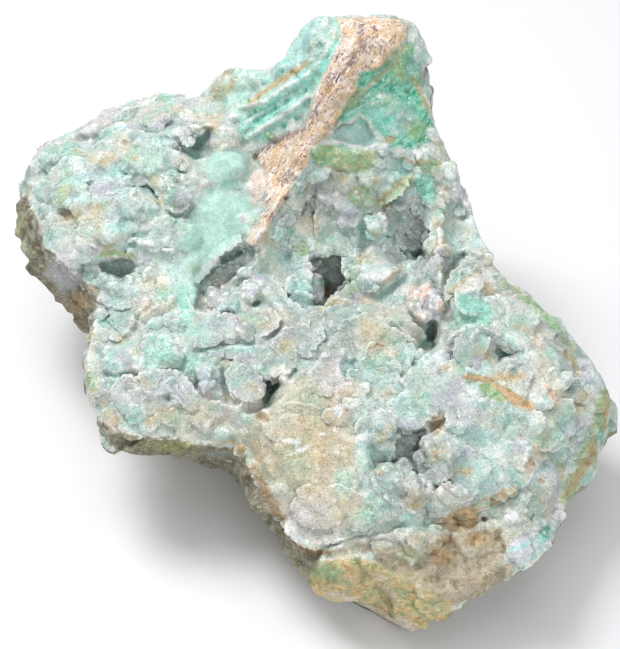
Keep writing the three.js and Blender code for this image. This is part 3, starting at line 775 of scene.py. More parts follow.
MIDDLE = (
    area("grey basin", ((311, 180), (324, 173), (342, 176), (348, 190), (344, 206), (333, 219), (316, 220),
         (308, 204)), -2, Mineral.GREY, 0.75, 3),
    spot("grey basin, shade", (318, 186), (12, 8), 0, Mineral.HOLLOW_SHADE, 0.25, 4, 40),
    spot("grey ball", (327, 203), 12, 1.6, Mineral.LILAC, 0.55, 2.5),
    line("basin lip", ((308, 226), (330, 220), (345, 219), (362, 222), (378, 227)), 4.5, 1.3, Mineral.LILAC,
         0.5, 2),
    line("under basin lip", ((312, 233), (330, 229), (350, 229), (368, 234)), 3, -0.8, Mineral.AQUA, 0.5,
         2.5),
    spot("white ball", (376, 224), (4, 4.5), 1.4, Mineral.WHITE, 0.9, 1),
    area("grape cavity", ((380, 212), (394, 204), (412, 206), (425, 214), (427, 232), (424, 247), (409, 251),
         (392, 242), (382, 228)), -2.6, Mineral.GREY, 0.7, 2.5),
    spot("grape cavity, shade", (398, 214), (18, 6), -0.6, Mineral.HOLLOW_SHADE, 0.3, 4, -10),
    area("side vug", ((409, 252), (418, 249), (426, 251), (424, 261), (413, 262)), -4.5, Mineral.HOLLOW_SHADE, 0.95,
         1.2),
    line("cream rib", ((437, 205), (438, 225), (436, 245), (438, 270), (441, 296)), 7, 0.9, Mineral.CREAM,
         0.5, 4),
    spot("rib rosette", (437, 225), (6, 5), 0.8, Mineral.OCHRE, 0.45, 2),
    spot("rib rosette, heart", (437, 225), 2, -0.6, Mineral.BROWN, 0.6, 1),
    area("concave wall", ((447, 204), (458, 198), (472, 212), (482, 236), (478, 248), (462, 252), (449, 248),
         (445, 230)), -1.4, Mineral.AQUA, 0.85, 3),
    line("concave wall, shade", ((447, 272), (454, 262), (463, 253)), 2.2, -1.1, Mineral.HOLLOW_SHADE, 0.5, 2),
    area("great vug", ((309, 259), (318, 254), (330, 256), (341, 254), (345, 265), (347, 280), (341, 289),
         (334, 297), (326, 301), (319, 297), (325, 286), (320, 276), (312, 270)), -6, Mineral.GREY, 0.8, 1.5),
    # Painted shade inside the great vug, over its real depth.
    spot("great vug, dark corner", (322, 264), (9, 6), -0.5, Mineral.HOLLOW_SHADE, 0.9, 2, 20),
    spot("great vug, dark foot", (324, 284), (7, 9), -1, Mineral.HOLLOW_SHADE, 0.95, 2),
    spot("great vug, brown floor", (326, 292), (6, 6), 0, Mineral.BROWN, 0.7, 2.5),
    spot("teal ball", (303, 290), (15, 16), 2.2, Mineral.TEAL, 0.5, 3),
    spot("teal ball, lilac side", (319, 294), (6, 8), 0.8, Mineral.LILAC, 0.8, 2),
    spot("lilac ball over vug", (312, 266), (7, 7), 1.4, Mineral.LILAC, 0.8, 1.5),
    spot("turquoise patch", (282, 233), (12, 9), 0.2, Mineral.TURQUOISE, 0.55, 4),
    spot("tan speckle", (265, 261), (11, 10), 0.8, Mineral.OLIVE, 0.35, 4),
    spot("cream speckle", (268, 252), (9, 8), 0.8, Mineral.CREAM, 0.6, 3),
    area("pale blob", ((371, 241), (383, 245), (399, 257), (399, 270), (387, 282), (371, 286), (361, 276),
         (359, 259)), 1.6, Mineral.WHITE, 0.65, 3),
    spot("green beside blob", (353, 282), (8, 16), 0, Mineral.GRASS, 0.45, 5),
    spot("ochre under blob", (366, 302), (8, 7), 0.4, Mineral.OCHRE, 0.55, 3),
    line("orange by blob", ((384, 281), (395, 273), (403, 265)), 2.6, 0, Mineral.ORANGE, 0.5, 2.5),
    line("teal groove", ((382, 294), (394, 286), (407, 277)), 3.4, -1.2, Mineral.TEAL, 0.6, 2.5),
    spot("teal bay", (352, 312), (16, 10), 0, Mineral.TEAL, 0.4, 5),
    spot("golden crystals", (303, 248), (7, 10), 0.6, Mineral.OLIVE, 0.65, 2, 20),
    spot("cream clusters", (305, 228), (10, 8), 0.8, Mineral.CREAM, 0.75, 3),
    spot("white cluster on lip", (310, 240), (5, 6), 1, Mineral.WHITE, 0.8, 1.5),
    area("sheet cavity", ((246, 246), (226, 252), (214, 262), (207, 276), (197, 295), (193, 307), (203, 312),
         (215, 304), (229, 286), (241, 271), (257, 262), (256, 250)), -3.6, Mineral.GREY, 0.75, 2),
    line("sheet cavity, shade under the sheet", ((203, 283), (211, 273), (219, 263), (229, 258), (242, 252)),
         2.2, -2.6, Mineral.HOLLOW_SHADE, 0.95, 1),
    line("sheet cavity, lower shade", ((207, 280), (200, 294), (196, 304)), 2.6, -0.8, Mineral.TEAL, 0.6, 2),
    *spots("cavity ball", Mineral.LILAC,
           ((212, 290), 8, 1.6, 0.7, 1.5), ((224, 283), 6, 1.4, 0.6, 1.5)),
    spot("cavity ball 3", (208, 302), 7, 1.4, Mineral.GREY, 0.6, 1.5),
    spot("cavity ball 4", (222, 298), 7, 1.5, Mineral.LILAC, 0.6, 1.5),
    spot("lilac ball", (249, 290), (9, 8), 1.6, Mineral.LILAC, 0.8, 1.5),
    *spots("small hole", Mineral.HOLLOW_SHADE,
           ((265, 287), 3, -1.8, 0.7, 1.2), ((255, 304), (5, 3), -2.2, 0.8, 1.2, -30),
           ((231, 311), (4, 3), -2, 0.8, 1.2, 20)),
    spot("grey patch left", (228, 325), (20, 10), 0.3, Mineral.LILAC, 0.4, 5),
    spot("tan patch middle", (275, 318), (22, 12), 0.3, Mineral.TAN, 0.6, 6, -20),
    spot("ochre stain middle", (284, 346), (12, 7), 0, Mineral.OCHRE, 0.45, 4, -30),
    spot("ochre stain by the tan patch", (262, 322), (6, 5), 0, Mineral.OCHRE, 0.5, 3),
    spot("mint stain middle", (240, 348), (16, 6), 0, Mineral.MINT, 0.55, 4),
    line("pale blue shelf", ((236, 272), (250, 276), (262, 280)), 5, 1.2, Mineral.LILAC, 0.5, 2),
    spot("teal shade by shelf", (290, 262), (14, 10), -0.6, Mineral.TEAL, 0.35, 5, 20),
    spot("wall left of great vug", (352, 248), (7, 12), 0.8, Mineral.AQUA, 0.5, 3),
    area("right shelf", ((403, 262), (426, 265), (434, 280), (432, 292), (414, 288), (404, 276)), 0.8,
         Mineral.AQUA, 0.6, 3),
)

PINK_BALLS = ((412, 292, 8), (423, 299, 7), (434, 296, 7), (409, 307, 7), (420, 315, 7), (434, 315, 8),
              (440, 306, 6), (426, 288, 6), (425, 307, 7))
BALL_MINERALS = (Mineral.PINK, Mineral.PINK, Mineral.LILAC)
# The hollow round the pink balls is darkened with painted shade.
BALLS = (spot("pink balls, hollow", (427, 302), (24, 23), -1.3, Mineral.SLATE_AND_SHADE, 0.9, 5),) + tuple(
    spot(f"pink ball {number + 1}", (x, y), radius, 2.2, BALL_MINERALS[number % 3], 1, 1.3)
    for number, (x, y, radius) in enumerate(PINK_BALLS)
)

RIGHT_LOBE = (
    area("upper right plate", ((447, 299), (450, 285), (455, 271), (461, 261), (468, 255), (478, 250),
         (488, 247), (498, 250), (512, 290), (550, 316), (562, 340), (520, 352), (480, 340), (452, 326)), 1,
         None, 0, 1.5),
    spot("pink knob", (493, 252), (5, 4.5), 1.2, Mineral.PINK, 0.95, 1.2),
    line("orange streak", ((452, 291), (464, 280), (477, 270)), 3.4, 0.3, Mineral.ORANGE, 0.5, 4),
    *spots("right lobe, ochre stain", Mineral.OCHRE,
           ((508, 378), (15, 4), 0, 0.75, 3), ((521, 328), (11, 5), 0, 0.65, 3, 20),
           ((444, 368), (15, 5), 0, 0.55, 3), ((569, 442), (5, 5), 0, 0.85, 2.5),
           ((466, 471), (8, 5), 0, 0.75, 2.5), ((541, 445), (6, 9), 0, 0.65, 3),
           ((489, 291), (5, 5), 0, 0.75, 2.5), ((416, 396), (6, 7), 0, 0.6, 3)),
    area("teal patch", ((452, 304), (464, 293), (480, 297), (492, 310), (490, 326), (472, 332), (456, 324)),
         0, Mineral.TURQUOISE, 0.75, 5),
    spot("teal patch, deep", (461, 303), (7, 8), -0.5, Mineral.TEAL, 0.4, 4),
    spot("ochre oval", (488, 290), (5, 6), -0.5, Mineral.OCHRE, 0.7, 2),
    line("green-yellow edge", ((504, 283), (520, 293), (536, 304), (549, 316), (559, 330), (567, 346),
         (573, 362)), 3.4, 0.3, Mineral.OLIVE, 0.7, 5.5),
    line("green flecks on edge", ((520, 297), (540, 310), (554, 326)), 3, 0, Mineral.GRASS, 0.75, 4),
    line("edge, orange low", ((566, 352), (574, 366), (579, 376)), 3, 0, Mineral.ORANGE, 0.5, 2),
    line("white band inside edge", ((500, 296), (518, 305), (534, 318), (547, 338), (556, 360)), 5, 0.6,
         Mineral.WHITE, 0.55, 3),
    area("nose plate", ((446, 350), (447, 337), (459, 329), (478, 327), (500, 332), (511, 342), (506, 349),
         (494, 351), (482, 357), (462, 360)), 1.6, Mineral.GREY, 0.6, 1.3),
    area("dark slit", ((484, 360), (492, 353), (505, 349), (508, 352), (498, 357), (488, 362)), -1.1,
         Mineral.TEAL, 0.5, 2),
    line("orange streak two", ((466, 377), (480, 378), (492, 384), (504, 393)), 3.4, 0.5, Mineral.ORANGE,
         0.9, 2.5),
    line("orange streak two, upper edge", ((470, 374), (486, 377), (504, 388), (522, 399)), 1.4, 0.2,
         Mineral.BROWN, 0.6, 1.5),
    line("orange streak two, broad end", ((504, 392), (516, 400), (529, 406)), 5.5, 0.5, Mineral.ORANGE, 0.9,
         3.5),
    area("green speckled wedge", ((477, 383), (490, 383), (506, 396), (503, 404), (486, 396)), 0.2,
         Mineral.GRASS, 0.85, 2),
    line("white under wedge", ((462, 384), (480, 398), (498, 410), (506, 418)), 3, 0.5, Mineral.WHITE, 0.6,
         2.5),
    *spots("white nodules", Mineral.WHITE,
           ((537, 398), (11, 5), 1.2, 0.95, 1.2, 30), ((548, 404), (6, 4), 1, 0.8, 1.2, 30),
           ((470, 365), (8, 6), 0.8, 0.8, 2)),
    line("salmon streak", ((544, 384), (550, 392), (556, 401)), 3.6, 0.6, Mineral.PINK, 0.95, 1.2),
    line("salmon streak, orange heart", ((546, 387), (554, 398)), 1.8, 0.2, Mineral.ORANGE, 0.6, 1.2),
    spot("ochre over streak", (512, 376), (18, 4), 0, Mineral.OCHRE, 0.6, 3),
    area("bluish plate", ((577, 364), (590, 361), (604, 372), (610, 385), (601, 398), (587, 394),
         (579, 381)), 0.8, Mineral.LILAC, 0.75, 2),
    line("bluish plate, cream rim", ((590, 361), (604, 371), (610, 386)), 2, 0.6, Mineral.WHITE, 0.7, 1.2),
    spot("white beads", (588, 408), (8, 13), 0.9, Mineral.WHITE, 0.7, 2, 10),
    area("petal plate", ((539, 446), (541, 431), (549, 425), (557, 428), (557, 444), (551, 458), (545, 462)),
         1, Mineral.TAN, 0.6, 1.3),
    area("brown ear", ((520, 478), (523, 457), (530, 443), (538, 444), (543, 458), (537, 472), (527, 484)),
         1.4, Mineral.CREAM, 0.85, 1.3),
    spot("brown ear, pits", (530, 466), (5, 8), -0.6, Mineral.BROWN, 0.6, 2, 30),
    spot("white cluster low", (546, 478), (14, 9), 0.9, Mineral.WHITE, 0.85, 2.5, -20),
    spot("olive dots in cluster", (541, 480), (5, 3), -0.5, Mineral.BROWN, 0.7, 1.5),
    spot("teal speckle", (480, 436), (22, 9), 0, Mineral.TEAL, 0.4, 7, 15),
    spot("tan speckle right", (505, 425), (22, 10), 0, Mineral.TAN, 0.4, 8),
    spot("green right side", (566, 430), (14, 22), 0, Mineral.MINT, 0.45, 7, 20),
    spot("grass right side", (576, 416), (8, 22), 0, Mineral.GRASS, 0.25, 5, 20),
    spot("tan by right edge", (548, 368), (14, 16), 0, Mineral.TAN, 0.45, 6),
)

LOWER_LEFT = (
    line("cream rim", ((94, 328), (91, 348), (88, 368), (95, 382), (89, 398), (94, 414), (112, 428)), 3.4,
         0.5, Mineral.CREAM, 0.85, 2),
    line("cream rim, lower", ((112, 428), (137, 436), (162, 438), (190, 443), (228, 444)), 2.4, 0.5,
         Mineral.CREAM, 0.8, 1.5),
    spot("olive wedge", (91, 381), (5, 12), -0.4, Mineral.OLIVE, 0.85, 1.5, -10),
    area("round plate", ((101, 366), (99, 354), (106, 345), (120, 342), (136, 346), (145, 356), (144, 370),
         (134, 376), (116, 378), (106, 374)), 1.2, Mineral.AQUA, 0.5, 1.5),
    spot("blue-green plate", (121, 321), (15, 16), 0.9, Mineral.AQUA, 0.6, 3),
    *spots("mint ball", Mineral.MINT,
           ((160, 347), (15, 14), 1.6, 0.8, 3), ((150, 362), (11, 8), 1, 0.75, 3)),
    spot("mint ball, white edge", (139, 370), (8, 5), 0.6, Mineral.WHITE, 0.7, 1.5, 30),
    spot("orange fleck", (134, 352), (4, 3), 0, Mineral.OCHRE, 0.75, 1.5),
    area("great lower plate", ((99, 391), (110, 381), (132, 380), (149, 374), (168, 368), (178, 371),
         (186, 381), (190, 392), (186, 402), (150, 416), (118, 412)), 1, Mineral.GREY, 0.35, 1.5),
    spot("green patch", (190, 362), (10, 12), 0, Mineral.JADE, 0.5, 4),
    spot("hole in plate", (168, 398), (6, 3.4), -2.2, Mineral.HOLLOW_SHADE, 0.7, 1.2, 25),
    spot("white beads on plate", (130, 396), (6, 4), 0.8, Mineral.WHITE, 0.7, 1.5),
    spot("ochre patch low left", (166, 413), (10, 7), 0, Mineral.OCHRE, 0.6, 4),
    spot("ochre patch low", (202, 418), (22, 7), 0, Mineral.OCHRE, 0.4, 5, 10),
    spot("blue ball 1", (203, 373), (9, 8), 1.7, Mineral.LILAC, 0.6, 1.5),
    spot("blue ball 2", (214, 366), (8, 7), 1.5, Mineral.AQUA, 0.7, 1.5),
    spot("blue ball 3", (206, 384), (8, 6), 1.2, Mineral.LILAC, 0.5, 1.5),
    line("flow, mint band", ((206, 350), (226, 348), (248, 349)), 3.2, 0.9, Mineral.MINT, 0.8, 1.5),
    line("flow, top lip", ((200, 336), (222, 331), (250, 332), (262, 338)), 2.6, 0.9, Mineral.CREAM, 0.4, 2),
    area("scalloped plate", ((222, 366), (230, 358), (246, 357), (260, 364), (268, 374), (270, 386),
         (262, 396), (248, 402), (238, 402), (230, 394), (226, 382)), 1.3, Mineral.GREY, 0.6, 1.3),
    area("black wedge", ((265, 384), (272, 376), (279, 380), (277, 392), (272, 406), (265, 412), (262, 402),
         (268, 394)), -4, Mineral.HOLLOW_SHADE, 0.95, 1.2),
    area("pink patch", ((203, 394), (214, 390), (224, 396), (236, 406), (226, 410), (210, 402)), 0.2,
         Mineral.PINK, 0.6, 2),
    area("cream block", ((266, 377), (272, 368), (284, 366), (290, 374), (284, 382), (278, 384), (272, 376)),
         1.3, Mineral.CREAM, 0.85, 1.2),
    area("pale flap", ((232, 404), (250, 398), (266, 396), (264, 408), (246, 408), (236, 412)), 1,
         Mineral.CREAM, 0.5, 1.5),
    line("white scratch 1", ((207, 426), (214, 419), (222, 413)), 1.6, 0.5, Mineral.WHITE, 0.9, 0.8),
    line("white scratch 2", ((323, 354), (317, 364), (309, 374)), 1.6, 0.5, Mineral.WHITE, 0.85, 0.8),
    line("white scratch 3", ((236, 424), (246, 416), (258, 410)), 1.4, 0.4, Mineral.WHITE, 0.7, 0.8),
    area("reddish hole", ((254, 416), (262, 411), (272, 414), (268, 422), (256, 421)), -1.8, Mineral.BROWN,
         0.7, 1.3),
    spot("mint oval", (222, 434), (9, 7), 0.9, Mineral.MINT, 0.65, 2),
    line("orange edge", ((220, 444), (232, 442), (242, 446)), 3, 0, Mineral.OCHRE, 0.9, 3),
)

LOWER_PLATE = (
    *spots("ochre wash", Mineral.OCHRE,
           ((315, 424), (20, 22), 0, 0.45, 9, 30), ((332, 450), (16, 14), 0, 0.55, 8),
           ((262, 462), (9, 14), 0, 0.45, 6, -20)),
    spot("olive wash", (300, 400), (22, 14), 0, Mineral.OLIVE, 0.25, 9, -20),
    spot("olive wash 2", (296, 470), (20, 16), 0, Mineral.OLIVE, 0.2, 9),
    spot("apron, tan wash", (306, 462), (44, 34), 0, Mineral.OCHRE, 0.3, 14),
    *spots("white fleck", Mineral.WHITE,
           ((290, 441), (9, 2.4), 0.5, 0.95, 0.8, 12), ((302, 449), (8, 2.2), 0.5, 0.95, 0.8, -25),
           ((297, 445), (2.4, 7), 0.5, 0.9, 0.8, 20), ((277, 488), (6, 3), 0.5, 0.6, 1.5, -20)),
    spot("pink patch low plate", (320, 543), (12, 5), 0.3, Mineral.PINK, 0.8, 2.5, -8),
    spot("lilac-pink zone", (334, 382), (17, 12), 0.2, Mineral.LILAC, 0.5, 6),
    area("plate with scalloped edge", ((300, 346), (318, 322), (336, 311), (372, 304), (402, 308),
         (414, 314), (423, 326), (426, 340), (412, 350), (386, 348), (352, 352), (324, 360)), 1, None, 0,
         1.5),
    area("dark side vug", ((428, 320), (436, 322), (435, 330), (438, 336), (434, 341), (437, 347),
         (429, 350), (430, 342), (426, 336)), -3.2, Mineral.HOLLOW_SHADE, 0.9, 1.5),
    spot("teal above nose", (450, 322), (8, 6), -0.6, Mineral.TEAL, 0.5, 3),
    area("green pocket", ((334, 364), (344, 358), (356, 360), (360, 368), (352, 378), (342, 376)), -1.4,
         Mineral.TEAL, 0.6, 2),
    line("brown line on plate", ((370, 348), (378, 344), (384, 346)), 1.6, -0.5, Mineral.BROWN, 0.7, 1),
    spot("bubble hole", (414, 364), (4, 5), -2, Mineral.HOLLOW_SHADE, 0.65, 1.3),
    area("white plates", ((418, 358), (432, 357), (442, 364), (436, 374), (424, 372)), 0.9, Mineral.WHITE,
         0.8, 1.5),
    spot("white plates 2", (406, 350), (10, 4), 0.6, Mineral.WHITE, 0.6, 2, 20),
    spot("small hole by bubble", (377, 401), (3, 2.6), -1.8, Mineral.HOLLOW_SHADE, 0.9, 1),
    *spots("mint mottle", Mineral.MINT,
           ((385, 372), (16, 16), 0, 0.5, 6), ((404, 400), (18, 16), 0, 0.5, 7, 30)),
    *spots("white ball", Mineral.WHITE,
           ((338, 411), (5, 7), 1.4, 1, 1.2, 10), ((352, 404), (9, 4), 1, 0.85, 1.5, -10)),
    spot("pit by white ball", (347, 410), (2, 1.6), -1, Mineral.SPECK, 0.8, 0.8),
    spot("white ball 3", (367, 439), (10, 6), 1.5, Mineral.WHITE, 1, 1.2),
    *spots("mint lobe", Mineral.MINT,
           ((366, 456), (10, 14), 1, 0.6, 3), ((385, 452), (10, 10), 1.3, 0.45, 2.5)),
    spot("teal drip", (344, 482), (10, 14), 0, Mineral.TURQUOISE, 0.4, 5, 15),
    # Painted shade under an upper edge, over a real groove.
    line("black crescent", ((398, 429), (404, 435), (413, 433), (424, 430)), 2.4, -5, Mineral.HOLLOW_SHADE, 1, 1),
    area("ochre recess", ((427, 420), (436, 414), (446, 420), (444, 432), (436, 438), (430, 432)), -1.8,
         Mineral.OCHRE, 0.85, 2),
    spot("ochre recess, brown", (436, 426), (6, 6), -0.4, Mineral.BROWN, 0.45, 3),
    area("low vug", ((398, 437), (410, 439), (422, 437), (427, 448), (424, 462), (426, 476), (434, 486),
         (422, 489), (409, 476), (397, 464), (394, 452)), -1.8, Mineral.GREY, 0.85, 2),
    area("low vug, boss", ((424, 440), (432, 434), (446, 436), (455, 446), (456, 462), (454, 476),
         (440, 482), (430, 474), (428, 462), (422, 452)), 1.6, Mineral.GREY, 0.6, 1.5),
    spot("boss ball", (438, 455), (15, 14), 1.3, Mineral.TAN, 0.45, 3),
    spot("boss ball, orange heart", (436, 454), (5, 4), 0, Mineral.OCHRE, 0.9, 2),
    spot("boss ball 2", (443, 473), (12, 9), 1.2, Mineral.LILAC, 0.4, 2),
    spot("grey ball 1", (400, 475), (12, 11), 1.4, Mineral.GREY, 0.75, 2),
    spot("grey ball 2", (413, 484), (10, 8), 1.2, Mineral.LILAC, 0.6, 2),
    spot("grey ball 3", (386, 480), (14, 9), 1.2, Mineral.GREY, 0.7, 2),
    spot("pink knobs low", (446, 487), (10, 4), 0.8, Mineral.PINK, 0.7, 1.5, -6),
    spot("orange dot low", (378, 472), (5, 2.4), 0.2, Mineral.OCHRE, 0.85, 1, 8),
    spot("lobe under vug", (380, 500), (22, 10), 0.6, Mineral.GREY, 0.4, 5, 10),
    line("arc ridge", ((398, 507), (408, 498), (424, 492), (455, 490), (486, 498), (515, 488)), 3, 1,
         Mineral.CREAM, 0.55, 2),
    line("arc ridge, tan behind", ((410, 506), (430, 500), (460, 500), (490, 504)), 5, 0, Mineral.TAN, 0.45,
         4),
)

APRON = (
    line("brown seam", ((438, 524), (455, 516), (475, 508), (496, 499), (514, 491)), 5.5, -0.5,
         Mineral.BROWN, 0.6, 3),
    line("brown seam, ochre", ((480, 506), (500, 497), (514, 490)), 3, 0, Mineral.OCHRE, 0.6, 2.5),
    spot("rust patch", (463, 521), (16, 11), -0.2, Mineral.ORANGE, 0.9, 5, -20),
    spot("rust patch, heart", (462, 520), (7, 5), 0, Mineral.BROWN, 0.6, 3, -20),
    *spots("pit", Mineral.PIT,
           ((457, 525), (2.8, 2.4), -1.4, 1, 0.8), ((484, 519), (2.6, 2.4), -1.4, 1, 0.8),
           ((494, 546), (2, 1.6), -1, 0.9, 0.8)),
    line("ledge", ((312, 556), (330, 551), (351, 541), (374, 537), (397, 534), (434, 533)), 2.6, 1,
         Mineral.CREAM, 0.5, 1.5),
    line("under the ledge, brown druse", ((330, 556), (356, 549), (384, 546), (412, 552)), 6, -0.4,
         Mineral.BROWN, 0.45, 4),
    line("ledge, shade", ((352, 549), (397, 543), (440, 541)), 4, -0.5, Mineral.TAN, 0.6, 4),
    line("grey-green shade", ((345, 534), (380, 526), (420, 524), (436, 528)), 7, -0.5, Mineral.TEAL, 0.35,
         4),
    spot("white blobs", (511, 517), (9, 7), 1.2, Mineral.WHITE, 0.9, 2, 20),
    area("pale blue sheet", ((502, 556), (512, 540), (528, 530), (548, 518), (560, 508), (558, 524),
         (546, 544), (530, 557), (512, 564)), 0.5, Mineral.LILAC, 0.75, 3),
    line("pale blue sheet, teal bands", ((506, 552), (524, 545), (544, 536)), 3, 0.3, Mineral.TURQUOISE, 0.5,
         2.5),
    area("rough grey-tan matrix", ((424, 548), (440, 536), (470, 530), (500, 528), (506, 545), (504, 560),
         (490, 574), (462, 592), (430, 584), (410, 570)), -0.2, Mineral.GRIT, 0.95, 5),
    spot("matrix, ochre 1", (442, 556), (12, 9), 0, Mineral.ORANGE, 0.8, 3),
    spot("matrix, green-grey", (404, 556), (20, 9), 0, Mineral.OLIVE, 0.45, 5, 15),
    spot("matrix, rust 2", (448, 540), (8, 6), 0, Mineral.BROWN, 0.7, 3, 30),
    spot("matrix, ochre 2", (478, 540), (12, 7), 0, Mineral.ORANGE, 0.75, 3),
    spot("matrix, orange low", (476, 582), (16, 4), 0, Mineral.ORANGE, 0.5, 3, -25),
    area("tip", ((318, 562), (340, 556), (358, 556), (374, 561), (394, 567), (427, 588), (458, 597),
         (440, 632), (405, 645), (360, 632), (312, 610), (300, 565)), 0, Mineral.LEAF, 0.95, 2.5),
    line("rock running into the tip", ((384, 556), (404, 570), (430, 586), (458, 596), (484, 588),
         (506, 570)), 8, 0, Mineral.GRIT, 0.95, 3),
    spot("rock running into the tip, ochre", (420, 584), (16, 6), 0, Mineral.OCHRE, 0.5, 4, 28),
    line("tip, cream upper rim", ((308, 562), (330, 558), (356, 556), (372, 560)), 2, 0.6, Mineral.CREAM,
         0.6, 1.2),
    spot("tip, orange fracture", (384, 590), (9, 20), -0.5, Mineral.OCHRE, 0.85, 5, -25),
    spot("tip, orange left", (352, 574), (10, 5), 0, Mineral.ORANGE, 0.4, 4, 20),
    spot("tip, grass", (328, 572), (14, 9), 0, Mineral.GRASS, 0.6, 4),
    line("tip, dark fold", ((358, 560), (364, 572), (362, 582)), 3, -1, Mineral.MOSS, 0.7, 2),
    line("tip, dark fold 2", ((376, 590), (388, 600), (392, 616)), 3, -1, Mineral.MOSS, 0.7, 2),
    spot("tip, pink foot", (404, 628), (14, 8), 0, Mineral.PINK, 0.7, 3, 20),
    line("tip, cream lower rim", ((330, 594), (352, 600), (372, 610), (392, 620)), 4, 0.3, Mineral.PINK, 0.5,
         2.5),
    line("right wall, olive", ((606, 392), (598, 430), (588, 452), (574, 480), (566, 500)), 7, 0,
         Mineral.OLIVE, 0.85, 5),
    line("right wall, orange", ((608, 400), (603, 428), (594, 452), (582, 474)), 3.4, 0, Mineral.ORANGE,
         0.62, 6),
    spot("right wall, teal", (600, 437), (4, 8), 0, Mineral.TEAL, 0.9, 2),
    line("right wall, lower orange", ((590, 452), (578, 476), (568, 494)), 3, 0, Mineral.ORANGE, 0.6, 6),
    spot("green edge low right", (545, 534), (4, 10), 0, Mineral.EMERALD, 0.8, 2, 25),
)

WALLS = (
    area("left wall", ((26, 196), (33, 212), (41, 228), (42, 245), (57, 256), (74, 272), (87, 284),
         (101, 287), (96, 300), (92, 330), (82, 345), (40, 310), (10, 260), (5, 200)), 0, Mineral.MATRIX, 1,
         1.5),
    line("left wall, olive edge", ((20, 216), (16, 236), (26, 256)), 3.4, 0, Mineral.OLIVE, 0.7, 2.5),
    spot("left wall, purple-grey", (64, 272), (20, 16), 0, Mineral.LILAC, 0.6, 6, 40),
    spot("left wall, brown", (78, 306), (9, 16), 0, Mineral.BROWN, 0.75, 5, 30),
    spot("left wall, moss", (88, 334), (5, 9), 0, Mineral.MOSS, 0.9, 2),
    area("lower left wall", ((88, 412), (113, 430), (137, 437), (151, 436), (178, 438), (184, 444),
         (202, 446), (231, 446), (239, 447), (247, 456), (251, 474), (263, 486), (271, 501), (283, 518),
         (286, 533), (302, 547), (326, 552), (308, 575), (270, 540), (240, 500), (210, 480), (150, 472),
         (110, 445)), -0.3, Mineral.MATRIX, 1, 1.5),
    spot("lower left wall, moss", (172, 446), (24, 6), 0, Mineral.MOSS, 0.95, 3, 3),
    # Painted shade under the rim of the lower left lobe.
    spot("lower left wall, dark band", (222, 454), (28, 3), -0.6, Mineral.HOLLOW_SHADE, 0.6, 2.5, 3),
    spot("lower left wall, brown-orange", (238, 450), (8, 5), 0, Mineral.ORANGE, 0.7, 2.5),
    line("lower left wall, orange-brown", ((252, 470), (262, 484), (270, 500), (282, 520)), 4.5, 0,
         Mineral.BROWN, 0.9, 3.5),
    line("brown step", ((298, 546), (312, 552), (328, 553)), 3.4, -0.6, Mineral.BROWN, 0.9, 1.5),
)

MARKS = WASHES + LEFT_LOBE + PEAK + MIDDLE + BALLS + RIGHT_LOBE + LOWER_LEFT + LOWER_PLATE + APRON + WALLS


@dataclass
class Skin:
    """A mesh's points, edges and normals as arrays, in millimetres."""

    at: Array
    edges: Array
    normal: Array

    @classmethod
    def of(cls, piece: bpy.types.Object) -> "Skin":
        """Reads a piece's mesh.

        Args:
            piece: The mesh object, which sits at the origin.

        Returns:
            Its skin.
        """
        mesh = piece.data
        mesh.update()
        at = np.empty(len(mesh.vertices) * 3, np.float32)
        mesh.vertices.foreach_get("co", at)
        normal = np.empty(len(mesh.vertices) * 3, np.float32)
        mesh.vertices.foreach_get("normal", normal)
        edges = np.empty(len(mesh.edges) * 2, np.int32)
        mesh.edges.foreach_get("vertices", edges)
        at = at.reshape(-1, 3).astype(float) / MM
        return cls(at, edges.reshape(-1, 2), normal.reshape(-1, 3).astype(float))

    def evened(self, values: Array, rounds: int) -> Array:
        """Averages values over each point's neighbours, again and again.

        Args:
            values: One row for each point.
            rounds: How many times.

        Returns:
            The evened values.
        """
        count = len(self.at)
        one, other = self.edges[:, 0], self.edges[:, 1]
        degree = np.bincount(one, minlength=count) + np.bincount(other, minlength=count)
        degree = np.maximum(degree, 1)
        flat = values.reshape(count, -1).astype(float)
        for _ in range(rounds):
            fresh = np.empty_like(flat)
            for column in range(flat.shape[1]):
                pulled = np.bincount(one, flat[other, column], count)
                pulled += np.bincount(other, flat[one, column], count)
                fresh[:, column] = pulled / degree
            flat = 0.5 * flat + 0.5 * fresh
        return flat.reshape(values.shape)

    def broad_normal(self, rounds: int) -> Array:
        """The way the surface faces once its small lumps are averaged out."""
        normal = self.evened(self.normal, rounds)
        return normal / np.maximum(np.linalg.norm(normal, axis=1, keepdims=True), 1e-9)

    def write(self, piece: bpy.types.Object) -> None:
        """Puts the points back into the piece's mesh."""
        piece.data.vertices.foreach_set("co", (self.at * MM).astype(np.float32).ravel())
        piece.data.update()


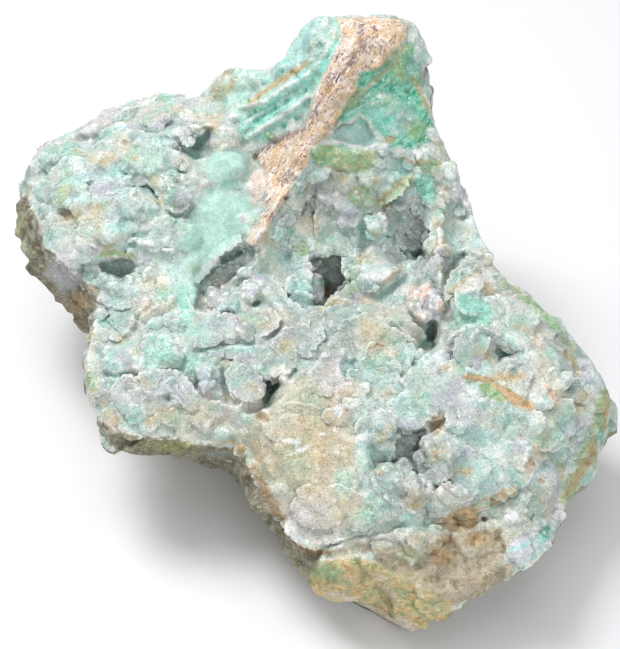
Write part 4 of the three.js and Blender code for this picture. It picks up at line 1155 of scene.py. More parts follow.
class Bench:
    """The mesh tools of the bench, each used on one piece at a time."""

    @staticmethod
    def hold(piece: bpy.types.Object) -> None:
        """Selects one piece and nothing else.

        Args:
            piece: The piece.
        """
        if bpy.context.object and bpy.context.object.mode != "OBJECT":
            bpy.ops.object.mode_set(mode="OBJECT")
        bpy.ops.object.select_all(action="DESELECT")
        piece.select_set(True)
        bpy.context.view_layer.objects.active = piece

    @classmethod
    def edit(cls, piece: bpy.types.Object, *steps: Callable[[], object]) -> None:
        """Runs steps on the whole of a piece in edit mode.

        Args:
            piece: The piece.
            steps: What to do, in order.
        """
        cls.hold(piece)
        bpy.ops.object.mode_set(mode="EDIT")
        bpy.ops.mesh.select_all(action="SELECT")
        for step in steps:
            step()
        bpy.ops.object.mode_set(mode="OBJECT")

    @classmethod
    def modify(cls, piece: bpy.types.Object, kind: str, **settings: object) -> None:
        """Adds a modifier, sets it and applies it.

        Args:
            piece: The piece.
            kind: Blender's name for the modifier's type.
            settings: The modifier's own settings.
        """
        cls.hold(piece)
        modifier = piece.modifiers.new(kind.lower(), kind)
        for name, value in settings.items():
            setattr(modifier, name, value)
        bpy.ops.object.modifier_apply(modifier=modifier.name)

    @classmethod
    def copy_of_node(cls, name: str, node: str) -> bpy.types.Object:
        """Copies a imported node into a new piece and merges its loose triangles.

        Args:
            name: The piece's name.
            node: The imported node.

        Returns:
            The piece.
        """
        piece = bpy.data.objects.new(name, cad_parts[node].data.copy())
        piece.data.name = name
        piece.data.materials.clear()
        bpy.context.scene.collection.objects.link(piece)
        cls.edit(piece, lambda: bpy.ops.mesh.remove_doubles(threshold=0.02 * MM))
        return piece

    @classmethod
    def remesh(cls, piece: bpy.types.Object, voxel: float) -> None:
        """Makes a piece's mesh anew as one even closed skin."""
        cls.modify(piece, "REMESH", mode="VOXEL", voxel_size=voxel, adaptivity=0)

    @classmethod
    def thin(cls, piece: bpy.types.Object, keep: Array, most: int) -> None:
        """Thins a piece's mesh to a number of triangles.

        Args:
            piece: The piece.
            keep: How much each point matters, from 0 to 1.
            most: The number of triangles.
        """
        group = piece.vertex_groups.new(name="thin")
        for level in range(11):
            who = np.nonzero(np.round((1 - keep) * 10) == level)[0]
            group.add(who.tolist(), max(level / 10, 0.02), "REPLACE")
        triangles = 2 * len(piece.data.polygons)
        ratio = min(1, most / triangles)
        cls.modify(piece, "DECIMATE", ratio=ratio, vertex_group="thin", vertex_group_factor=1.2)
        cls.modify(piece, "TRIANGULATE")
        piece.vertex_groups.clear()
        log.info("%s thinned from %d to %d triangles", piece.name, triangles, len(piece.data.polygons))

    @staticmethod
    def island_sizes(piece: bpy.types.Object) -> Array:
        """Counts the points of the loose part that each point belongs to.

        Args:
            piece: The piece.

        Returns:
            One count for each point.
        """
        edges = Skin.of(piece).edges
        part = np.arange(len(piece.data.vertices))
        while True:
            low = np.minimum(part[edges[:, 0]], part[edges[:, 1]])
            fresh = part.copy()
            np.minimum.at(fresh, part[edges[:, 0]], low)
            np.minimum.at(fresh, part[edges[:, 1]], low)
            fresh = fresh[fresh]
            if np.array_equal(fresh, part):
                return np.bincount(part, minlength=len(part))[part]
            part = fresh

    @classmethod
    def mend(cls, piece: bpy.types.Object, crumb: int = 24, rounds: int = 6) -> None:
        """Cuts loose crumbs and folded triangles out of a thinned mesh and closes the small holes they leave.

        Args:
            piece: The piece.
            crumb: Loose parts with fewer points than this are dropped.
            rounds: The most times that folds are cut out and holes closed.
        """
        before = len(piece.data.polygons)
        for _ in range(rounds):
            cls.edit(
                piece,
                lambda: bpy.ops.mesh.select_mode(type="VERT"),
                lambda: bpy.ops.mesh.dissolve_degenerate(threshold=0.002 * MM),
                lambda: bpy.ops.mesh.select_all(action="DESELECT"),
                lambda: bpy.ops.mesh.select_non_manifold(extend=False),
            )
            folded = np.zeros(len(piece.data.vertices), bool)
            piece.data.vertices.foreach_get("select", folded)
            loose = cls.island_sizes(piece) < crumb
            if not (folded | loose).any():
                break
            piece.data.vertices.foreach_set("select", folded | loose)
            cls.hold(piece)
            bpy.ops.object.mode_set(mode="EDIT")
            bpy.ops.mesh.delete(type="VERT")
            bpy.ops.mesh.select_all(action="SELECT")
            bpy.ops.mesh.fill_holes(sides=0)
            bpy.ops.mesh.quads_convert_to_tris(quad_method="BEAUTY", ngon_method="BEAUTY")
            bpy.ops.object.mode_set(mode="OBJECT")
        log.info("%s mended, %d triangles before and %d after", piece.name, before, len(piece.data.polygons))


@dataclass
class Coat:
    """What the stone is at each point of a skin.

    Attributes:
        tint: Its colour, as a screen shows it.
        grains: Its share of each grain.
        rise: How far it stands up, in millimetres.
        marked: How far it is coloured by marks, from 0 to 1.
    """

    tint: Array
    grains: Array
    rise: Array
    marked: Array

    def share(self, grain: Grain) -> Array:
        """How far each point is of one grain, from 0 to 1."""
        return self.grains[:, list(Grain).index(grain)]

    def shares(self, *grains: Grain) -> Array:
        """The shares of several grains, one column each."""
        return np.stack([self.share(grain) for grain in grains], axis=1)


@dataclass
class Geologist:
    """Reads the marks on a skin: what is seen from the front, what each point is made of, how it is raised.

    Attributes:
        sight: Where the marks are seen from.
        marks: The marks, in the order in which they are laid.
        crust_facing: How squarely the broad form faces along the crust's normal where the crust starts,
            and where it is whole.
        grazing: How squarely a point faces the eye where marks start to be laid, and where they are whole.
        cell: Spacing of the depth check over the view, in view points.
        hidden_mm: How far behind the nearest point a mark still holds, and where it has faded out.
        patch_mm: Size of the patches that the crust's colour varies in.
        blot_mm: Size of the blots that colours meet in.
        fine_mm: Size of the smallest blots, which fray the marks' edges.
        vein_mm: Size of the veins in the matrix.
        stain_mm: Size of the stains on it.
        margin: How far past a mark's own edge points are looked at, in view points.
        least_shown: How far a point has to show for a mark to be laid on it.
        marked_cover: How thick a mineral lies where a point starts to count as marked, and where it does.
        grain_cover: The same for a point that takes on the mineral's own grain.
        mixed: How strong the mottle is where only one of a mineral's two colours is left.
        frayed: How far the edge of a raised mark frays, and that of a deep one.
    """

    sight: Sight
    marks: tuple[Mark, ...]
    crust_facing: tuple[float, float] = (0.1, 0.42)
    grazing: tuple[float, float] = (0.0, 0.22)
    cell: int = 5
    hidden_mm: tuple[float, float] = (7, 12)
    patch_mm: float = 7
    blot_mm: float = 2.6
    fine_mm: float = 1.1
    vein_mm: float = 12
    stain_mm: float = 9
    margin: float = 6
    least_shown: float = 0.01
    marked_cover: tuple[float, float] = (0.35, 0.75)
    grain_cover: tuple[float, float] = (0.2, 0.6)
    mixed: float = 0.45
    frayed: tuple[float, float] = (0.45, 0.8)

    def seen(self, at: Array, broad: Array) -> tuple[Array, Array, Array]:
        """Finds what shows from the front.

        Args:
            at: Points in millimetres.
            broad: The way the broad form faces there.

        Returns:
            View points across and down, and how far each point shows, from 0 to 1.
        """
        x, y, depth = self.sight.seen_at(at)
        columns = int(self.sight.across) // self.cell + 8
        rows = int(self.sight.down) // self.cell + 8
        column = np.clip((x / self.cell).astype(int) + 3, 0, columns - 1)
        row = np.clip((y / self.cell).astype(int) + 3, 0, rows - 1)
        nearest = np.full((rows, columns), 1e6)
        np.minimum.at(nearest, (row, column), depth)
        behind = depth - nearest[row, column]
        facing = np.einsum("ij,ij->i", broad, self.sight.towards_eye(at))
        return x, y, ramp(behind, self.hidden_mm[1], self.hidden_mm[0]) * ramp(facing, *self.grazing)

    def read(self, at: Array, broad: Array, all_crust: bool = False) -> Coat:
        """Works out the coat of a skin.

        Args:
            at: Points in millimetres.
            broad: The way the broad form faces there.
            all_crust: Whether all of it is crust, whichever way it faces.

        Returns:
            The coat, with screen colours and rises in millimetres.
        """
        x, y, shown = self.seen(at, broad)
        crust = np.ones(len(at)) if all_crust else ramp(broad @ self.sight.crust_normal, *self.crust_facing)
        patch = Noise.soft(at, self.patch_mm, Seed.PATCHES, 2)
        blot = Noise.soft(at, self.blot_mm, Seed.BLOTS, 2)
        fine = Noise.soft(at, self.fine_mm, Seed.FINE, 2)
        tint, grains = self.ground(at, crust, patch, blot)
        rise = np.zeros(len(at))
        marked = np.zeros(len(at))
        for mark in self.marks:
            who = mark.near(x, y, self.margin)
            who = who[shown[who] > self.least_shown]
            if not len(who):
                continue
            stout = min(3.2, 1 + mark.stout * 0.45)
            ragged = fine[who] * stout + blot[who] * max(stout, min(9, mark.soft * 1.1 - 0.8))
            ragged = ragged + patch[who] * max(0, mark.soft - 4) * 1.2
            apart = mark.apart(x[who], y[who])
            if mark.mineral is not None:
                cover = mark.cover(apart + ragged) * mark.amount * shown[who]
                cover = np.clip(cover * (1 + 0.6 * blot[who] + 0.5 * fine[who]), 0, 1)[:, None]
                self.lay(tint, grains, who, mark.mineral, cover, blot[who] + fine[who] * 0.6)
                marked[who] = np.maximum(marked[who], ramp(cover[:, 0], *self.marked_cover))
            if mark.rise:
                frayed = self.frayed[0] if mark.rise > -1 else self.frayed[1]
                rise[who] += mark.rise * mark.swell(apart + ragged * frayed) * shown[who]
        return Coat(tint, grains, rise, marked)

    def lay(self, tint: Array, grains: Array, who: Array, mineral: Mineral, cover: Array,
            mottle: Array) -> None:
        """Lays one mineral over some points, in place.

        Args:
            tint: Colours of all points.
            grains: Grain shares of all points.
            who: The points it lies on.
            mineral: The mineral.
            cover: How far it covers each of them, as a column.
            mottle: What mixes its two colours, about -1 to 1.
        """
        pigment = mineral.value
        other = ramp(mottle, -self.mixed, self.mixed)[:, None]
        colour = screen_colour(pigment.main) * (1 - other) + screen_colour(pigment.other) * other
        tint[who] = tint[who] * (1 - cover) + colour * cover
        own = np.eye(len(Grain))[list(Grain).index(pigment.grain)]
        hold = ramp(cover, *self.grain_cover)
        grains[who] = grains[who] * (1 - hold) + own * hold

    def ground(self, at: Array, crust: Array, patch: Array, blot: Array) -> tuple[Array, Array]:
        """Colours the whole stone before any mark is laid.

        Args:
            at: Points in millimetres.
            crust: How far each point is crust and not broken matrix.
            patch: Slow noise.
            blot: Quicker noise.

        Returns:
            Screen colours, and grain shares.
        """
        everyone = np.arange(len(at))
        tint = np.tile(screen_colour(Mineral.MATRIX.value.main), (len(at), 1))
        grains = np.zeros((len(at), len(Grain)))
        grains[:, list(Grain).index(Grain.ROCK)] = 1
        veins = Noise.soft(at, self.vein_mm, Seed.VEINS, 3)
        stains = Noise.soft(at, self.stain_mm, Seed.STAINS, 3)
        # Each: a mineral, the noise that places it, where in it the mineral starts and is whole, how much.
        for mineral, field_of, start, end, amount in (
            (Mineral.BROWN, veins, 0.1, 0.45, 0.75), (Mineral.MOSS, stains, 0.08, 0.4, 0.75),
            (Mineral.OLIVE, patch, 0.32, 0.6, 0.5), (Mineral.GREY, -veins, 0.2, 0.5, 0.45),
            (Mineral.ORANGE, -stains, 0.36, 0.55, 0.5), (Mineral.TEAL, veins * stains, 0.12, 0.2, 0.5),
        ):
            cover = (ramp(field_of + blot * 0.3, start, end) * amount)[:, None]
            self.lay(tint, grains, everyone, mineral, cover, blot)
            grains[:] = 0
            grains[:, list(Grain).index(Grain.ROCK)] = 1
        ragged_crust = ramp(crust + 0.25 * blot, 0.35, 0.6)[:, None]
        self.lay(tint, grains, everyone, Mineral.AQUA, ragged_crust, blot)
        for mineral, field_of, start, end, amount in (
            (Mineral.GREY, patch, 0.0, 0.45, 0.6), (Mineral.CREAM, -patch, 0.08, 0.5, 0.4),
            (Mineral.TAN, stains, 0.1, 0.5, 0.45), (Mineral.MINT, veins, 0.1, 0.5, 0.4),
            (Mineral.LILAC, -stains, 0.15, 0.5, 0.35),
        ):
            cover = ramp(field_of + blot * 0.5, start, end)[:, None] * amount * ragged_crust
            self.lay(tint, grains, everyone, mineral, cover, blot)
        return tint, grains


@dataclass
class Painter:
    """Lays the coat on finished skins.

    Attributes:
        geologist: Reads the marks.
        rim: Colour of the painted highlight that thin edges of the crust go pale to.
        near_mm: How far round a point its own small edges are looked for.
        far_mm: How far round it the broad form is looked for.
        leanings: Colours that single plates and knobs lean to.
        plates: Size in millimetres, seed and strength of the plates' own colours, then of the knobs'.
        blooms: Wide stains on the crust: colour, size in millimetres, and how much of it there is.
    """

    geologist: Geologist
    rim: str = "#e4e5e1"
    near_mm: float = 0.55
    far_mm: float = 1.5
    leanings: tuple[str, ...] = ("#a3a3a8", "#cabfa8", "#93bdb5")
    plates: tuple[tuple[float, Seed, float], ...] = (
        (6.5, Seed.PLATE_TINTS, 0.4), (3.0, Seed.KNOB_TINTS, 0.26),
    )
    blooms: tuple[tuple[str, float, float], ...] = (
        ("#bf9f66", 6.4, 0.5), ("#ecebe9", 2.2, 0.45), ("#667f7c", 5.4, 0.6), ("#76ae8e", 7.6, 0.38),
        ("#b3a4bb", 8.4, 0.48), ("#80cbb9", 6.2, 0.42), ("#f2f0ee", 5.0, 0.5),
    )

    def paint(self, piece: bpy.types.Object, grit_mm: float, all_crust: bool,
              pale: Array | None = None) -> None:
        """Writes a piece's coat into its mesh's attributes and shades it smooth.

        Args:
            piece: The piece.
            grit_mm: How fine its mesh is.
            all_crust: Whether all of it is crust.
            pale: How far each point is paled by painted highlight, if that isn't worked out from the form.
        """
        skin = Skin.of(piece)
        near = max(2, round((self.near_mm / grit_mm) ** 2 * 2))
        far = max(8, round((self.far_mm / grit_mm) ** 2 * 2))
        broad = skin.broad_normal(far)
        coat = self.geologist.read(skin.at, broad, all_crust)
        proud = np.einsum("ij,ij->i", skin.at - skin.evened(skin.at, near), skin.normal)
        broad_proud = np.einsum("ij,ij->i", skin.at - skin.evened(skin.at, far), skin.normal)
        self.vary(skin, coat)
        # Painted highlight on thin edges and painted shade in hollows, worked out from the form or given as
        # pale.
        if pale is None:
            self.light_edges_and_shade_hollows(coat, proud, broad_proud)
        else:
            blend(coat.tint, self.rim, pale[:, None])
        write_colours(piece.data, "tint", linear(coat.tint))
        write_colours(piece.data, "grain_one", coat.shares(Grain.FIBRE, Grain.GRAINY, Grain.RIND))
        write_colours(piece.data, "grain_two", coat.shares(Grain.ROCK, Grain.LEAFY, Grain.SMOOTH))
        Bench.hold(piece)
        bpy.ops.object.shade_smooth()

    def vary(self, skin: Skin, coat: Coat) -> None:
        """Gives each knob and plate of the crust a slightly different colour, in place.

        Args:
            skin: The skin.
            coat: Its coat.
        """
        crust = (coat.share(Grain.DRUSE) * (1 - 0.65 * coat.marked))[:, None]
        for size_mm, seed, amount in self.plates:
            bent = Noise.bent(skin.at, size_mm * 0.7, seed + 1, 1)
            own = Noise.cells(bent, size_mm, seed)[3]
            for axis, code in enumerate(self.leanings):
                share = crust * ramp(own[:, axis], 0.2, 0.9)[:, None] * amount
                blend(coat.tint, code, share)
        for number, (code, size_mm, amount) in enumerate(self.blooms):
            field = Noise.soft(skin.at, size_mm, Seed.STAIN_TINTS + number, 2)
            blend(coat.tint, code, crust * ramp(field, 0.16, 0.5)[:, None] * amount)

    def light_edges_and_shade_hollows(self, coat: Coat, proud: Array, broad_proud: Array) -> None:
        """Paints highlight onto the thin edges of the crust's plates and paints shade into its hollows, in
        place.

        Args:
            coat: The coat.
            proud: How far each point stands out of its near neighbours, in millimetres.
            broad_proud: How far it stands out of what lies around it.
        """
        tint = coat.tint
        crust = coat.share(Grain.DRUSE) + 0.5 * coat.share(Grain.GRAINY)
        # Painted highlight: points that stand proud of their neighbours go pale towards the rim colour.
        rim = (ramp(proud, 0.03, 0.1) * 0.55 + ramp(broad_proud, 0.15, 0.5) * 0.15)[:, None] * crust[:, None]
        blend(tint, self.rim, rim)
        # Painted shade: points in hollows are darkened, as shade falls there.
        hollow = (ramp(proud, -0.03, -0.15) * 0.2 + ramp(broad_proud, -0.15, -0.7) * 0.35)[:, None]
        deep = tint * (0.6 + 0.4 * tint)
        tint[:] = tint * (1 - hollow) + deep * hollow


@dataclass
class Stone:
    """The stone itself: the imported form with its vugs, plates, ridges and broken faces worked into it.

    Attributes:
        painter: Lays the coat.
        first_voxel: Fineness of the mesh that the marks are worked into.
        second_voxel: Fineness of the mesh that the small grain is worked into.
        most_triangles: What the finished mesh is thinned to.
        foot_mm: Height over which the relief fades out above the flat foot.
        flat_mm: Height below which points are laid on the foot's plane.
        plate_mm: Size of the crust's plates.
        chips_mm: Sizes of the large and the small chips of the broken matrix.
        grain_mm: Size of the small grain.
        layer_mm: Thickness of the leafy tip's layers.
        evened: How often the first and the second mesh are evened to find the broad form.
        plate_bend_mm: Size of the waves that bend the plates' edges, and how far they bend them.
        chip_bend_mm: The same for the chips.
        chips_lean: How steeply the large and the small chips lean.
        chips_reach_mm: How far the chips go in and stand out at most.
    """

    painter: Painter
    first_voxel: float = 0.6 * MM
    second_voxel: float = 0.5 * MM
    most_triangles: int = 160000
    foot_mm: tuple[float, float] = (0.4, 3.0)
    flat_mm: float = 0.3
    plate_mm: float = 6.8
    chips_mm: tuple[float, float] = (11, 4.6)
    grain_mm: float = 1.2
    layer_mm: float = 1.35
    evened: tuple[int, int] = (14, 20)
    plate_bend_mm: tuple[float, float] = (4.2, 2.2)
    chip_bend_mm: tuple[float, float] = (5, 1.5)
    chips_lean: tuple[float, float] = (2.6, 1.3)
    chips_reach_mm: tuple[float, float] = (-1.6, 1.3)

    @property
    def geologist(self) -> Geologist:
        """Who reads the marks."""
        return self.painter.geologist

    def build(self) -> bpy.types.Object:
        """Builds the stone.

        Returns:
            The finished piece.
        """
        piece = Bench.copy_of_node("stone", NODE)
        Bench.remesh(piece, self.first_voxel)
        self.work_marks(piece)
        Bench.remesh(piece, self.second_voxel)
        self.work_grain(piece)
        skin = Skin.of(piece)
        broad = skin.broad_normal(self.evened[1])
        _, _, shown = self.geologist.seen(skin.at, broad)
        keep = 0.15 + 0.85 * np.maximum(shown, 0.5 * ramp(broad[:, 2], -0.2, 0.3))
        Bench.thin(piece, keep, self.most_triangles)
        self.lay_flat(piece)
        Bench.mend(piece)
        self.painter.paint(piece, 0.6, False)
        return piece

    def above_foot(self, at: Array) -> Array:
        """How far the relief holds at each height over the foot, from 0 to 1."""
        return ramp(at[:, 2], *self.foot_mm)

    def work_marks(self, piece: bpy.types.Object) -> None:
        """Works the marks and the larger plates, knobs and broken faces into the mesh.

        Args:
            piece: The stone.
        """
        skin = Skin.of(piece)
        broad = skin.broad_normal(self.evened[0])
        coat = self.geologist.read(skin.at, broad)
        hold = self.above_foot(skin.at)[:, None]
        own = (self.lumps(skin.at, coat) + self.broken(skin.at, coat)) * hold[:, 0]
        skin.at += self.geologist.sight.towards_eye(skin.at) * coat.rise[:, None] * hold
        skin.at += broad * own[:, None]
        skin.write(piece)

    def lumps(self, at: Array, coat: Coat) -> Array:
        """Height of the crust's lumps and steps.

        Args:
            at: Points in millimetres.
            coat: What they are made of.

        Returns:
            Heights in millimetres.
        """
        crust = coat.share(Grain.DRUSE) + 0.5 * coat.share(Grain.GRAINY) + 0.4 * coat.share(Grain.FIBRE)
        waves_mm, by_mm = self.plate_bend_mm
        bent = Noise.bent(at, waves_mm, Seed.PLATE_BEND, by_mm, 2)
        first, second, _, own = Noise.cells(bent, self.plate_mm, Seed.PLATES)
        plate = own[:, 0] * 0.5 - 0.5 * ramp(second - first, 0.2, 0.0)
        return crust * (plate + Noise.soft(at, 9, Seed.LIE, 2) * 0.6)

    def broken(self, at: Array, coat: Coat) -> Array:
        """Height of the flat chips of the broken matrix.

        Args:
            at: Points in millimetres.
            coat: What they are made of.

        Returns:
            Heights in millimetres.
        """
        rock = coat.share(Grain.ROCK) + coat.share(Grain.LEAFY) * 0.6
        waves_mm, by_mm = self.chip_bend_mm
        bent = Noise.bent(at, waves_mm, Seed.CHIP_BEND, by_mm)
        _, _, way, own = Noise.cells(bent, self.chips_mm[0], Seed.CHIPS)
        chips = np.einsum("ij,ij->i", way, own) * self.chips_lean[0]
        _, _, way, own = Noise.cells(bent, self.chips_mm[1], Seed.SMALL_CHIPS)
        chips += np.einsum("ij,ij->i", way, own) * self.chips_lean[1]
        return rock * (np.clip(chips, *self.chips_reach_mm) + 0.3 * Noise.soft(at, 2.2, Seed.BROKEN, 2))

    def work_grain(self, piece: bpy.types.Object) -> None:
        """Works the small grain of each mineral into the fine mesh.

        Args:
            piece: The stone.
        """
        skin = Skin.of(piece)
        broad = skin.broad_normal(self.evened[1])
        coat = self.geologist.read(skin.at, broad)
        small = Noise.knobs(skin.at, self.grain_mm, Seed.GRAINS, 0.16, 0.08)
        height = coat.share(Grain.DRUSE) * (small * 0.7 + Noise.soft(skin.at, 2.4, Seed.SWELL, 2) * 0.25)
        height += coat.share(Grain.GRAINY) * small * 2.1
        height += coat.share(Grain.SMOOTH) * small * 0.7
        height += coat.share(Grain.RIND) * (small * 0.9 + self.streaks(skin.at) * 0.5)
        rough = Noise.soft(skin.at, 1.5, Seed.ROUGH, 2) * 0.34
        height += (coat.share(Grain.ROCK) + coat.share(Grain.FIBRE) * 0.4) * rough
        height += coat.share(Grain.FIBRE) * self.fibres(skin.at) * 0.55
        height += coat.share(Grain.LEAFY) * (self.leaves(skin.at) * 0.55 + rough * 0.5)
        skin.at += skin.normal * (height * self.above_foot(skin.at))[:, None]
        skin.write(piece)

    def drawn_out(self, at: Array, turn: float, share: float) -> Array:
        """Squeezes places along a line of the view, which draws the noise there out.

        Args:
            at: Points in millimetres.
            turn: The line's turn up from the right of the view, in degrees.
            share: How much of the length along the line is taken out.

        Returns:
            The squeezed points.
        """
        along = self.geologist.sight.way(turn)
        return at - np.outer(at @ along, along) * share

    def fibres(self, at: Array) -> Array:
        """Height of the fibrous mineral's ribs, -1 to 1, which run down the peak."""
        return Noise.soft(self.drawn_out(at, STRIPE_TURN, 0.86), 0.95, Seed.FIBRES, 2)

    def streaks(self, at: Array) -> Array:
        """Height of the rind's fibres, -1 to 1, which run down its length."""
        return Noise.soft(self.drawn_out(at, RIND_TURN, 0.75), 1.1, Seed.STREAKS, 3)

    def leaves(self, at: Array) -> Array:
        """Height of the leafy tip's thin layers, 0 to 1, each with one sharp edge."""
        level = at[:, 2] * 0.8 - at[:, 1] * 0.4 + at[:, 0] * 0.12 + Noise.soft(at, 6, Seed.LEAVES, 2) * 2.2
        layer = level / self.layer_mm
        return (layer - np.floor(layer)) ** 1.6

    def lay_flat(self, piece: bpy.types.Object) -> None:
        """Lays the foot flat.

        Args:
            piece: The stone.
        """
        skin = Skin.of(piece)
        skin.at[skin.at[:, 2] < self.flat_mm, 2] = 0
        skin.write(piece)


class Side(Enum):
    """The pieces that the crust's plates are made in."""

    LEFT = "crust_left"
    MIDDLE = "crust_middle"
    RIGHT = "crust_right"


@dataclass(frozen=True)
class Habit:
    """One way that the crust has grown over an oval of the view.

    Attributes:
        name: Where it is.
        side: Which piece it belongs to.
        at: The oval's middle, in view points.
        half: Its two radii, in view points.
        count: How many plates grow there.
        reach_mm: The smallest and the largest plate's radius.
        long: How much longer than deep a plate is, along its free edge.
        heading: Which way the free edges face, clockwise from the right of the view, in degrees.
        stray: How far a plate's heading strays from that, in degrees.
        lift: The least and the greatest lift of the free edge, in degrees.
        thick_mm: Half a plate's thickness.
        turn: The oval's turn, clockwise, in degrees.
        hollow: The share of the oval's reach that stays bare round its middle.
        inward: Whether the free edges face the middle, as round a vug.
        lining: Whether the plates may grow in hollows.
    """

    name: str
    side: Side
    at: Point
    half: Point
    count: int
    reach_mm: tuple[float, float] = (1.2, 2.6)
    long: float = 1.3
    heading: float = 100
    stray: float = 60
    lift: tuple[float, float] = (8, 26)
    thick_mm: tuple[float, float] = (0.28, 0.5)
    turn: float = 0
    hollow: float = 0
    inward: bool = False
    lining: bool = False


def knobs(name: str, side: Side, at: Point, half: Point, count: int, reach_mm: tuple[float, float],
          thick_mm: tuple[float, float], long: float = 1.0, lift: float = 8, lining: bool = True) -> Habit:
    """Describes round knobs, which face any way and hardly lift.

    Args:
        name: Where they are.
        side: Which piece they belong to.
        at: The oval's middle, in view points.
        half: Its two radii, in view points.
        count: How many knobs grow there.
        reach_mm: The smallest and the largest knob's radius.
        thick_mm: The least and the greatest half height.
        long: How much longer than deep a knob is.
        lift: The greatest lift of a knob's edge, in degrees.
        lining: Whether they may grow in hollows.

    Returns:
        How they have grown.
    """
    return Habit(name, side, at, half, count, reach_mm, long, 90, 180, (0, lift), thick_mm, lining=lining)


@dataclass(frozen=True)
class Lip:
    """The thin scalloped free edge of a sheet of crust.

    Attributes:
        gap: How deep the crust falls away in front of the edge, in millimetres, which also sets how dark its
            painted shade is.
        route: Where it runs in the view. The edge is free on the right as one goes along.
    """

    gap: float
    route: tuple[Point, ...]

    def steps(self, spacing: float) -> list[tuple[float, float, float]]:
        """Walks along the route.

        Args:
            spacing: The length of a step, in view points.

        Returns:
            View points across and down, and the way the edge faces there, in degrees.
        """
        walked = []
        for (x0, y0), (x1, y1) in zip(self.route[:-1], self.route[1:]):
            count = max(1, round(math.hypot(x1 - x0, y1 - y0) / spacing))
            facing = math.degrees(math.atan2(x1 - x0, y0 - y1))
            for number in range(count):
                share = (number + 0.5) / count
                walked.append((x0 + (x1 - x0) * share, y0 + (y1 - y0) * share, facing))
        return walked

    def trench(self) -> Mark:
        """Marks the fall of the crust in front of the edge and colours it with painted shade.

        Returns:
            The mark.
        """
        ahead = 2.6
        points = []
        for x, y, facing in self.steps(9):
            turn = math.radians(facing)
            points.append((x + ahead * math.cos(turn), y + ahead * math.sin(turn)))
        return line("trench", tuple(points), 3.4, -1.4 * self.gap, Mineral.HOLLOW_SHADE, 0.2 * self.gap, 2.2)


